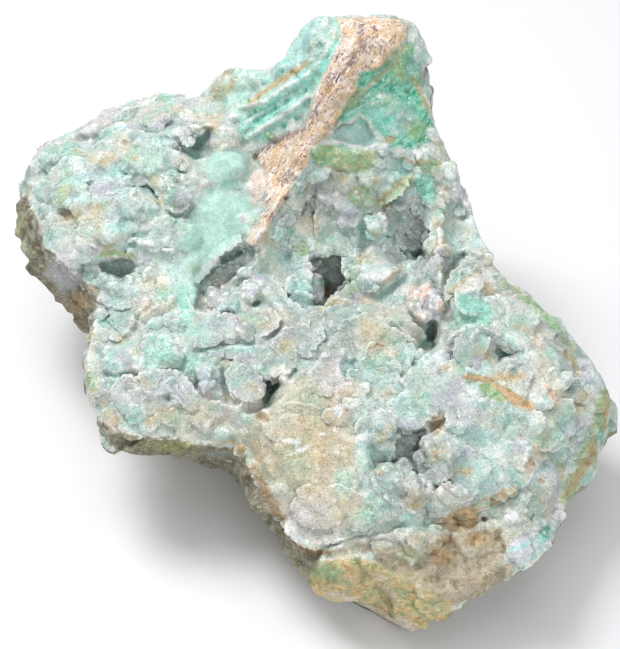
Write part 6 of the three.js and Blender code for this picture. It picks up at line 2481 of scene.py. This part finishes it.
@dataclass
class Druse:
    """The skin of small quartz points on the crust.

    Attributes:
        sight: Where the points are looked at from.
        count: How many points there are at most.
        radius_mm: The thinnest and the thickest point.
        stands_mm: How far the lowest and the highest one stand out of the crust.
        root_mm: How far a point runs into the crust.
        leans: How far the points lean out of square.
        tile_rows: Rows of the small squares that the points' own map is laid out in.
        tries: How many places are looked at for each point.
        across: Where in the view places are looked for, in view points across.
        down: The same in view points down.
        pale: Colour of the milkiest points.
    """

    sight: Sight
    count: int = 16000
    radius_mm: tuple[float, float] = (0.14, 0.27)
    stands_mm: tuple[float, float] = (0.08, 0.24)
    root_mm: float = 0.3
    leans: float = 0.28
    tile_rows: int = 127
    tries: float = 1.5
    across: tuple[float, float] = (15, 612)
    down: tuple[float, float] = (15, 600)
    pale: str = "#f4f3f0"

    @staticmethod
    def point() -> tuple[Array, Array]:
        """Models one six-sided point with its root.

        Returns:
            Its corners, 1 across and 1 high over z = 0 with its root 1 below, and its triangles.
        """
        bpy.ops.object.select_all(action="DESELECT")
        bpy.ops.mesh.primitive_cone_add(vertices=6, radius1=1, radius2=0, depth=1, end_fill_type="TRIFAN",
                                        location=(0, 0, 0.5))
        cone = bpy.context.object
        bpy.ops.object.transform_apply(location=True)
        root = min(cone.data.vertices, key=lambda v: v.co.xy.length + v.co.z)
        root.co.z = -1
        corners = np.array([v.co for v in cone.data.vertices])
        triangles = np.array([p.vertices for p in cone.data.polygons])
        bpy.data.objects.remove(cone)
        return corners, triangles

    def build(self, carriers: list[bpy.types.Object]) -> bpy.types.Object:
        """Grows the points wherever the crust is seen and is drusy.

        Args:
            carriers: The pieces they grow on.

        Returns:
            The druse.
        """
        sight = self.sight
        beds = [Bed(sight, carrier) for carrier in carriers]
        draw = np.random.default_rng(Seed.POINTS)
        places = []
        while len(places) < self.count * self.tries:
            x, y = draw.uniform(*self.across), draw.uniform(*self.down)
            met = [place for place in (bed.under(x, y) for bed in beds) if place is not None]
            if met:
                places.append(min(met, key=lambda place: place.away))
        at = np.array([place.at for place in places])
        crusty = np.array([place.crusty for place in places])
        weight = ramp(crusty, 0.4, 0.8) * (0.5 + ramp(Noise.soft(at, 5, Seed.DRUSE, 2), -0.3, 0.3))
        chosen = np.nonzero(draw.uniform(0, 1.2, len(at)) < weight)[0][:self.count]
        normal = np.array([places[number].normal for number in chosen])
        return self.grow(at[chosen], normal, np.array([places[number].tint for number in chosen]), draw)

    def grow(self, at: Array, normal: Array, tint: Array, draw: np.random.Generator) -> bpy.types.Object:
        """Grows the points.

        Args:
            at: Where each stands, in millimetres.
            normal: The way the crust faces there.
            tint: The crust's colour there, as it is laid on its mesh.
            draw: Where the random draws come from.

        Returns:
            The druse.
        """
        shape, triangles = self.point()
        count = len(at)
        normal = normal + draw.normal(0, self.leans, (count, 3))
        normal = normal / np.linalg.norm(normal, axis=1, keepdims=True)
        side = np.cross(normal, draw.normal(0, 1, (count, 3)))
        side = side / np.linalg.norm(side, axis=1, keepdims=True)
        other = np.cross(normal, side)
        wide = draw.uniform(*self.radius_mm, count)[:, None, None]
        tall = draw.uniform(*self.stands_mm, count)[:, None]
        up = np.where(shape[None, :, 2] > 0, shape[None, :, 2] * tall, shape[None, :, 2] * self.root_mm)
        flat = shape[None, :, 0:1] * side[:, None, :] + shape[None, :, 1:2] * other[:, None, :]
        corners = at[:, None, :] + wide * flat + up[:, :, None] * normal[:, None, :]
        faces = triangles[None] + len(shape) * np.arange(count)[:, None, None]
        piece = new_piece("druse", corners.reshape(-1, 3) * MM, faces.reshape(-1, 3))
        tint = tint * draw.normal(1.04, 0.05, (count, 1)) + draw.normal(0.0, 0.01, (count, 3))
        pale = ramp(draw.uniform(0, 1, count), 0.78, 1.0)[:, None] * 0.7
        tint = tint * (1 - pale) + linear(screen_colour(self.pale)) * pale
        write_colours(piece.data, "tint", np.repeat(tint, len(shape), axis=0))
        self.lay_out(piece.data, shape, triangles, count)
        return piece

    def lay_out(self, mesh: bpy.types.Mesh, shape: Array, triangles: Array, count: int) -> None:
        """Gives every point a small square of its own in the map named OFBake.

        Args:
            mesh: The druse's mesh.
            shape: One point's corners.
            triangles: One point's triangles.
            count: How many points there are.
        """
        layer = mesh.uv_layers.new(name="OFBake")
        within = 0.5 + 0.42 * shape[triangles.ravel(), :2]
        number = np.arange(count)
        tile = np.stack([number % self.tile_rows, number // self.tile_rows], axis=1)
        places = (tile[:, None, :] + within[None]) / self.tile_rows
        layer.data.foreach_set("uv", places.reshape(-1).astype(np.float32))


class Board:
    """Places nodes on one node tree and joins them."""

    def __init__(self, tree: bpy.types.NodeTree) -> None:
        """Starts on an empty tree."""
        self.tree = tree
        self.tree.nodes.clear()

    def add(self, kind: str, inputs: dict[str | int, object] | None = None,
            **settings: object) -> bpy.types.Node:
        """Adds a node.

        Args:
            kind: Blender's name for the node.
            inputs: What each input is set to or joined to.
            settings: The node's own settings.

        Returns:
            The node.
        """
        node = self.tree.nodes.new(kind)
        for name, value in settings.items():
            setattr(node, name, value)
        for name, value in (inputs or {}).items():
            if isinstance(value, bpy.types.NodeSocket):
                self.tree.links.new(value, node.inputs[name])
            else:
                node.inputs[name].default_value = value
        return node

    def maths(self, operation: str, *values: object) -> bpy.types.NodeSocket:
        """Adds a sum on numbers and gives its result."""
        inputs = dict(enumerate(values))
        return self.add("ShaderNodeMath", inputs, operation=operation).outputs[0]

    def spread(self, value: bpy.types.NodeSocket, low: float, high: float, to_low: object = 0.0,
               to_high: object = 1.0) -> bpy.types.NodeSocket:
        """Stretches low to high onto two other numbers, smoothly and held between them.

        Args:
            value: What is stretched.
            low: The value that becomes to_low.
            high: The value that becomes to_high.
            to_low: What low becomes.
            to_high: What high becomes.

        Returns:
            The stretched value.
        """
        inputs = {"Value": value, "From Min": low, "From Max": high, "To Min": to_low, "To Max": to_high}
        node = self.add("ShaderNodeMapRange", inputs, interpolation_type="SMOOTHSTEP")
        return node.outputs["Result"]

    def mix(self, share: object, one: object, other: object) -> bpy.types.NodeSocket:
        """Mixes two colours by a share."""
        node = self.add("ShaderNodeMix", {0: share, 6: one, 7: other}, data_type="RGBA")
        return node.outputs[2]

    def clouds(self, vector: bpy.types.NodeSocket, scale: object, detail: float, roughness: float = 0.5,
               distortion: float = 0.0) -> bpy.types.Node:
        """Adds cloudy noise.

        Args:
            vector: Where it is read.
            scale: How many clouds there are to one unit.
            detail: How many finer layers it has.
            roughness: How strong those are.
            distortion: How far it is bent.

        Returns:
            The node.
        """
        inputs = {"Vector": vector, "Scale": scale, "Detail": detail, "Roughness": roughness,
                  "Distortion": distortion}
        return self.add("ShaderNodeTexNoise", inputs)


def new_material(name: str) -> tuple[bpy.types.Material, Board, bpy.types.NodeSocket]:
    """Starts a material.

    Args:
        name: Its name.

    Returns:
        The material, its board, and the place on the piece in millimetres.
    """
    material = bpy.data.materials.new(name)
    material.use_nodes = True
    board = Board(material.node_tree)
    place = board.add("ShaderNodeTexCoord").outputs["Object"]
    per_metre = (1 / MM, 1 / MM, 1 / MM)
    return material, board, board.add("ShaderNodeMapping", {"Vector": place, "Scale": per_metre}).outputs[0]


def rgba(code: str) -> tuple[float, float, float, float]:
    """Turns a colour code into the linear colour of a node's socket."""
    red, green, blue = linear(screen_colour(code))
    return (float(red), float(green), float(blue), 1.0)


class Effects:
    """The effects that more than one finish uses, each a node group made once."""

    def __init__(self) -> None:
        """Makes the groups."""
        self.mottle = self.make_mottle()
        self.flecks = self.make_flecks()

    @staticmethod
    def start(name: str, colours: tuple[str, ...], values: dict[str, float]) -> tuple[Board, bpy.types.Node]:
        """Starts a group that changes a colour over a surface.

        Args:
            name: The group's name.
            colours: Its colour inputs.
            values: Its number inputs, and what each is when nothing is joined to it.

        Returns:
            The group's board, and the node that its inputs come from.
        """
        group = bpy.data.node_groups.new(name, "ShaderNodeTree")
        add = group.interface.new_socket
        for colour in colours:
            add(name=colour, in_out="INPUT", socket_type="NodeSocketColor")
        add(name="Vector", in_out="INPUT", socket_type="NodeSocketVector")
        for value, usual in values.items():
            add(name=value, in_out="INPUT", socket_type="NodeSocketFloat").default_value = usual
        add(name="Color", in_out="OUTPUT", socket_type="NodeSocketColor")
        board = Board(group)
        return board, board.add("NodeGroupInput")

    def make_mottle(self) -> bpy.types.NodeTree:
        """Makes the group that lightens and darkens a colour in soft clouds.

        Returns:
            The group.
        """
        board, came = self.start("mottle", ("Color",), {"Scale": 1.0, "Depth": 0.1})
        noise = board.clouds(came.outputs["Vector"], came.outputs["Scale"], 3.0, 0.6)
        centred = board.maths("SUBTRACT", noise.outputs["Fac"], 0.5)
        swing = board.maths("MULTIPLY", centred, board.maths("MULTIPLY", came.outputs["Depth"], 4.0))
        level = board.maths("ADD", swing, 1.0)
        inputs = {0: came.outputs["Color"], "Scale": level}
        scaled = board.add("ShaderNodeVectorMath", inputs, operation="SCALE")
        board.add("NodeGroupOutput", {"Color": scaled.outputs[0]})
        return board.tree

    def make_flecks(self) -> bpy.types.NodeTree:
        """Makes the group that scatters grains of another colour.

        Returns:
            The group.
        """
        board, came = self.start("flecks", ("Color", "Fleck"), {"Scale": 1.0, "Share": 0.2, "Amount": 0.5})
        vector = came.outputs["Vector"]
        warp = board.clouds(vector, 2.0, 2.0).outputs["Color"]
        shift = board.add("ShaderNodeVectorMath", {0: warp, "Scale": 0.6}, operation="SCALE")
        bent = board.add("ShaderNodeVectorMath", {0: vector, 1: shift.outputs[0]}, operation="ADD")
        cells = board.add("ShaderNodeTexVoronoi", {"Vector": bent.outputs[0], "Scale": came.outputs["Scale"]})
        parts = board.add("ShaderNodeSeparateColor", {"Color": cells.outputs["Color"]})
        rest = board.maths("SUBTRACT", 1.0, came.outputs["Share"])
        picked = board.maths("GREATER_THAN", parts.outputs[0], rest)
        inside = board.spread(cells.outputs["Distance"], 0.75, 0.3)
        share = board.maths("MULTIPLY", board.maths("MULTIPLY", picked, inside), came.outputs["Amount"])
        mixed = board.mix(share, came.outputs["Color"], came.outputs["Fleck"])
        board.add("NodeGroupOutput", {"Color": mixed})
        return board.tree


@dataclass(frozen=True)
class StoneFinish:
    """The finish of the stone: every mineral's own flecks, fibres and gloss over the laid colours.

    Attributes:
        effects: The shared node groups.
        sight: Where the marks are seen from.
        crust_rough: Roughness of the crust, and of everything else.
        bump_mm: Depth of the finest grain.
        layer_turn: How the tip's layers are turned, in radians.
        layer_scale: How many of their clouds there are to a millimetre, along each axis.
        milky: How much of the light goes in under the skin.
        milk_colour: How far each colour goes in, beside the others.
        milk_depth: How deep it goes, in metres.
        bending: How strongly the skin bends light.
    """

    # Each: the grain it lies on, its colour, how many to a millimetre, the share that shows, how much.
    FLECKS = (
        # The white druse flecks are white sugar grains and painted glints both.
        (Grain.DRUSE, "#f7f8f6", 2.9, 0.12, 0.32), (Grain.DRUSE, "#68807c", 2.3, 0.18, 0.4),
        (Grain.SMOOTH, "#e9f6f2", 2.4, 0.2, 0.35), (Grain.SMOOTH, "#8fbfb3", 1.6, 0.25, 0.3),
        (Grain.GRAINY, "#4f9468", 1.5, 0.3, 0.6), (Grain.GRAINY, "#b39a55", 1.9, 0.25, 0.6),
        (Grain.GRAINY, "#e0e4cb", 2.9, 0.1, 0.4), (Grain.FIBRE, "#dff3ea", 1.5, 0.22, 0.5),
        (Grain.FIBRE, "#239772", 0.9, 0.25, 0.5), (Grain.FIBRE, "#93a56c", 0.8, 0.16, 0.5),
        (Grain.RIND, "#fbf0e4", 2.4, 0.12, 0.35), (Grain.RIND, "#6a4d50", 1.5, 0.14, 0.6),
        (Grain.RIND, "#3f3336", 2.6, 0.1, 0.6), (Grain.ROCK, "#3a372e", 2.3, 0.16, 0.35),
        (Grain.ROCK, "#a7a68f", 1.5, 0.2, 0.5), (Grain.ROCK, "#5f6d3c", 0.8, 0.22, 0.5),
        (Grain.LEAFY, "#c47a3e", 1.1, 0.14, 0.5), (Grain.LEAFY, "#5d9060", 1.2, 0.2, 0.5),
    )

    effects: Effects
    sight: Sight
    crust_rough: tuple[float, float] = (0.42, 0.78)
    bump_mm: float = 0.16
    layer_turn: tuple[float, float, float] = (-0.46, 0.15, 0.0)
    layer_scale: tuple[float, float, float] = (0.45, 0.7, 1.7)
    milky: float = 0.12
    milk_colour: tuple[float, float, float] = (0.9, 1.0, 0.95)
    milk_depth: float = 0.0012
    bending: float = 1.5

    def build(self) -> bpy.types.Material:
        """Makes the material.

        Returns:
            The material.
        """
        material, board, mm = new_material("stone")
        one = board.add("ShaderNodeAttribute", attribute_name="grain_one")
        two = board.add("ShaderNodeAttribute", attribute_name="grain_two")
        fibre, grainy, rind = board.add("ShaderNodeSeparateColor", {0: one.outputs["Color"]}).outputs
        rock, leafy, smooth = board.add("ShaderNodeSeparateColor", {0: two.outputs["Color"]}).outputs
        druse = 1.0
        for grain in (fibre, grainy, rind, rock, leafy, smooth):
            druse = board.maths("SUBTRACT", druse, grain)
        shares = {Grain.DRUSE: druse, Grain.FIBRE: fibre, Grain.GRAINY: grainy, Grain.RIND: rind,
                  Grain.ROCK: rock, Grain.LEAFY: leafy, Grain.SMOOTH: smooth}
        threads = self.threads(board, mm)
        colour = board.add("ShaderNodeAttribute", attribute_name="tint").outputs["Color"]
        for scale, depth in ((0.22, 0.08), (0.8, 0.1), (3.0, 0.2)):
            inputs = {"Color": colour, "Vector": mm, "Scale": scale, "Depth": depth}
            colour = board.add("ShaderNodeGroup", inputs, node_tree=self.effects.mottle).outputs[0]
        layers = board.add("ShaderNodeMapping", {"Vector": mm, "Rotation": self.layer_turn,
                                                 "Scale": self.layer_scale}).outputs[0]
        leaf = board.clouds(layers, 1.0, 5.0, 0.7, 0.9).outputs["Fac"]
        lengthwise = self.drawn_out(board, mm, RIND_TURN, 3.5)
        veins = board.clouds(lengthwise, 1.0, 6.0, 0.75, 0.9).outputs["Fac"]
        gold = board.clouds(lengthwise, 0.35, 3.0).outputs["Fac"]
        # Each: a pattern, where in it the colour starts and is whole, the grain it is on, the code, how much.
        for pattern, start, whole, grain, code, amount in (
            (threads, 0.54, 0.68, fibre, "#c9f1e5", 0.85), (threads, 0.46, 0.34, fibre, "#157a5c", 0.9),
            (leaf, 0.55, 0.66, leafy, "#e3d6b4", 1), (leaf, 0.44, 0.34, leafy, "#7f9462", 1),
            (leaf, 0.53, 0.64, rock, "#cdc3a6", 0.55), (leaf, 0.46, 0.36, rock, "#5c5646", 0.55),
            (veins, 0.51, 0.6, rind, "#f2e6dc", 1), (veins, 0.47, 0.36, rind, "#6c4c52", 1),
            (gold, 0.5, 0.62, rind, "#cda76f", 0.45),
        ):
            share = board.maths("MULTIPLY", board.spread(pattern, start, whole), grain)
            colour = board.mix(board.maths("MULTIPLY", share, amount), colour, rgba(code))
        for grain, code, scale, share, amount in self.FLECKS:
            inputs = {"Color": colour, "Fleck": rgba(code), "Vector": mm, "Scale": scale, "Share": share,
                      "Amount": board.maths("MULTIPLY", shares[grain], amount)}
            colour = board.add("ShaderNodeGroup", inputs, node_tree=self.effects.flecks).outputs[0]
        cells = board.add("ShaderNodeTexVoronoi", {"Vector": mm, "Scale": 2.2})
        glint = board.add("ShaderNodeSeparateColor", {0: cells.outputs["Color"]}).outputs[0]
        base = board.spread(druse, 0.2, 0.8, self.crust_rough[1], self.crust_rough[0])
        rough = board.maths("ADD", base, board.maths("MULTIPLY", board.maths("SUBTRACT", glint, 0.5), 0.3))
        ribs = board.maths("MULTIPLY", board.maths("MULTIPLY", threads, fibre), 3.0)
        height = board.maths("MULTIPLY", cells.outputs["Distance"], -0.5)
        height = board.maths("ADD", board.clouds(mm, 3.4, 4.0, 0.7).outputs["Fac"], height)
        height = board.maths("ADD", height, ribs)
        bump = board.add("ShaderNodeBump", {"Strength": 0.8, "Distance": self.bump_mm * MM, "Height": height})
        shader = board.add("ShaderNodeBsdfPrincipled", {
            "Base Color": colour, "Roughness": rough, "Normal": bump.outputs[0],
            "Subsurface Weight": self.milky, "Subsurface Radius": self.milk_colour,
            "Subsurface Scale": self.milk_depth, "IOR": self.bending,
        })
        board.add("ShaderNodeOutputMaterial", {"Surface": shader.outputs[0]})
        return material

    def threads(self, board: Board, mm: bpy.types.NodeSocket) -> bpy.types.NodeSocket:
        """Makes the fine threads that run down the peak.

        Args:
            board: The material's board.
            mm: The place on the piece in millimetres.

        Returns:
            Their level, from 0 to 1.
        """
        stretched = self.drawn_out(board, mm, STRIPE_TURN, 4.0)
        return board.clouds(stretched, 1.1, 5.0, 0.65, 1.2).outputs["Fac"]

    def drawn_out(self, board: Board, vector: bpy.types.NodeSocket, turn: float,
                  times: float) -> bpy.types.NodeSocket:
        """Draws a pattern out along a line of the view.

        Args:
            board: The material's board.
            vector: Where the pattern is read.
            turn: The line's turn up from the right of the view, in degrees.
            times: How many times its width the pattern becomes long.

        Returns:
            Where to read the pattern instead.
        """
        along = Vector(self.sight.way(turn))
        inputs = {"Vector": vector, "Rotation": Vector((1, 0, 0)).rotation_difference(along).to_euler(),
                  "Scale": (times * 0.67, 0.67, 0.67)}
        return board.add("ShaderNodeMapping", inputs, vector_type="TEXTURE").outputs[0]


@dataclass(frozen=True)
class DruseFinish:
    """The finish of the quartz points: milky, glossy, and coloured by what they grow on.

    Attributes:
        effects: The shared node groups.
        rough: Roughness of the glossiest and the dullest points.
        milky: How much of the light goes into them.
        milk_colour: How far each colour goes in, beside the others.
        milk_depth: How deep it goes, in metres.
        bending: How strongly quartz bends light.
    """

    effects: Effects
    rough: tuple[float, float] = (0.16, 0.42)
    milky: float = 0.15
    milk_colour: tuple[float, float, float] = (0.9, 1.0, 0.97)
    milk_depth: float = 0.0008
    bending: float = 1.54

    def build(self) -> bpy.types.Material:
        """Makes the material.

        Returns:
            The material.
        """
        material, board, mm = new_material("druse")
        colour = board.add("ShaderNodeAttribute", attribute_name="tint").outputs["Color"]
        inputs = {"Color": colour, "Vector": mm, "Scale": 2.5, "Depth": 0.08}
        colour = board.add("ShaderNodeGroup", inputs, node_tree=self.effects.mottle).outputs[0]
        cells = board.add("ShaderNodeTexVoronoi", {"Vector": mm, "Scale": 1.6})
        glint = board.add("ShaderNodeSeparateColor", {0: cells.outputs["Color"]}).outputs[0]
        shader = board.add("ShaderNodeBsdfPrincipled", {
            "Base Color": colour, "Roughness": board.spread(glint, 0, 1, *self.rough),
            "IOR": self.bending, "Subsurface Weight": self.milky, "Subsurface Radius": self.milk_colour,
            "Subsurface Scale": self.milk_depth,
        })
        board.add("ShaderNodeOutputMaterial", {"Surface": shader.outputs[0]})
        return material


@dataclass(frozen=True)
class Lamp:
    """One soft light.

    Attributes:
        name: What it is.
        at: Where it stands, in metres.
        size: Across its square face, in metres.
        watts: Its power.
    """

    name: str
    at: tuple[float, float, float]
    size: float
    watts: float


@dataclass
class Studio:
    """The pale floor, the soft light and the camera.

    Attributes:
        sight: Where the stone is looked at from.
        floor_half: Half the floor's side, in metres.
        floor_drop_mm: How far under the foot the floor lies.
        floor_colour: Its colour.
        floor_rough: Its roughness.
        lamps: The soft lights.
        aim: What the lamps point at, in metres.
        world: Strength of the room's even light.
        world_colour: Its colour.
    """

    sight: Sight
    floor_half: float = 3.0
    floor_drop_mm: float = 0.05
    floor_colour: tuple[float, float, float, float] = (0.72, 0.72, 0.73, 1)
    floor_rough: float = 0.7
    lamps: tuple[Lamp, ...] = (
        Lamp("key", (-0.28, 0.22, 0.62), 0.3, 4.3),
        Lamp("overhead", (0.1, 0.1, 0.85), 0.7, 2.0),
        Lamp("fill", (0.2, -0.65, 0.42), 0.6, 3.1),
    )
    aim: tuple[float, float, float] = (0, 0, 0.035)
    world: float = 0.35
    world_colour: tuple[float, float, float, float] = (0.95, 0.97, 1.0, 1)

    def build(self) -> None:
        """Builds the studio around the stone."""
        self.lay_floor()
        self.light()
        self.place_camera()

    def lay_floor(self) -> None:
        """Lays the plain pale floor under the foot."""
        bpy.ops.object.select_all(action="DESELECT")
        level = -self.floor_drop_mm * MM
        bpy.ops.mesh.primitive_plane_add(size=2 * self.floor_half, location=(0, 0, level))
        floor = bpy.context.object
        floor.name = "floor"
        material = bpy.data.materials.new("floor")
        material.use_nodes = True
        shader = material.node_tree.nodes["Principled BSDF"]
        shader.inputs["Base Color"].default_value = self.floor_colour
        shader.inputs["Roughness"].default_value = self.floor_rough
        floor.data.materials.append(material)

    def light(self) -> None:
        """Sets the lamps, the even light of the room and how the picture is developed."""
        target = Vector(self.aim)
        for lamp in self.lamps:
            data = bpy.data.lights.new(lamp.name, "AREA")
            data.energy = lamp.watts
            data.size = lamp.size
            light = bpy.data.objects.new(lamp.name, data)
            light.location = lamp.at
            light.rotation_euler = (target - light.location).to_track_quat("-Z", "Y").to_euler()
            bpy.context.scene.collection.objects.link(light)
        world = bpy.data.worlds.new("studio")
        bpy.context.scene.world = world
        world.use_nodes = True
        background = world.node_tree.nodes["Background"]
        background.inputs["Color"].default_value = self.world_colour
        background.inputs["Strength"].default_value = self.world
        bpy.context.scene.view_settings.view_transform = "Standard"

    def place_camera(self) -> None:
        """Places the camera at the eye."""
        sight = self.sight
        data = bpy.data.cameras.new("camera")
        data.sensor_fit = "HORIZONTAL"
        data.sensor_width = 36
        data.lens = data.sensor_width * sight.focal / sight.across
        data.clip_start = 0.02
        camera = bpy.data.objects.new("camera", data)
        camera.location = Vector(sight.eye_mm * MM)
        camera.rotation_euler = Vector(-sight.back).to_track_quat("-Z", "Y").to_euler()
        bpy.context.scene.collection.objects.link(camera)
        bpy.context.scene.camera = camera


def main() -> None:
    """Builds the stone, its crust, its druse and the studio."""
    logging.basicConfig(level=logging.INFO, format="%(relativeCreated)d %(name)s: %(message)s")
    sight = Sight()
    trenches = tuple(lip.trench() for lip in LIPS if lip.gap)
    stone = Stone(Painter(Geologist(sight, trenches + MARKS))).build()
    log.info("stone done")
    painter = Painter(Geologist(sight, MARKS))
    crust = Crust(painter, trenches).build(stone)
    crust.append(Edges(painter).build(stone))
    druse = Druse(sight).build([stone, *crust])
    effects = Effects()
    finish = StoneFinish(effects, sight).build()
    for piece in (stone, *crust):
        piece.data.materials.append(finish)
    druse.data.materials.append(DruseFinish(effects).build())
    for piece in (stone, *crust, druse):
        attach(piece, BODY)
        log.info("%s: %d triangles", piece.name, len(piece.data.polygons))
    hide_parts(NODE)
    Studio(sight).build()
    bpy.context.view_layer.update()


if __name__ == "__main__":
    main()
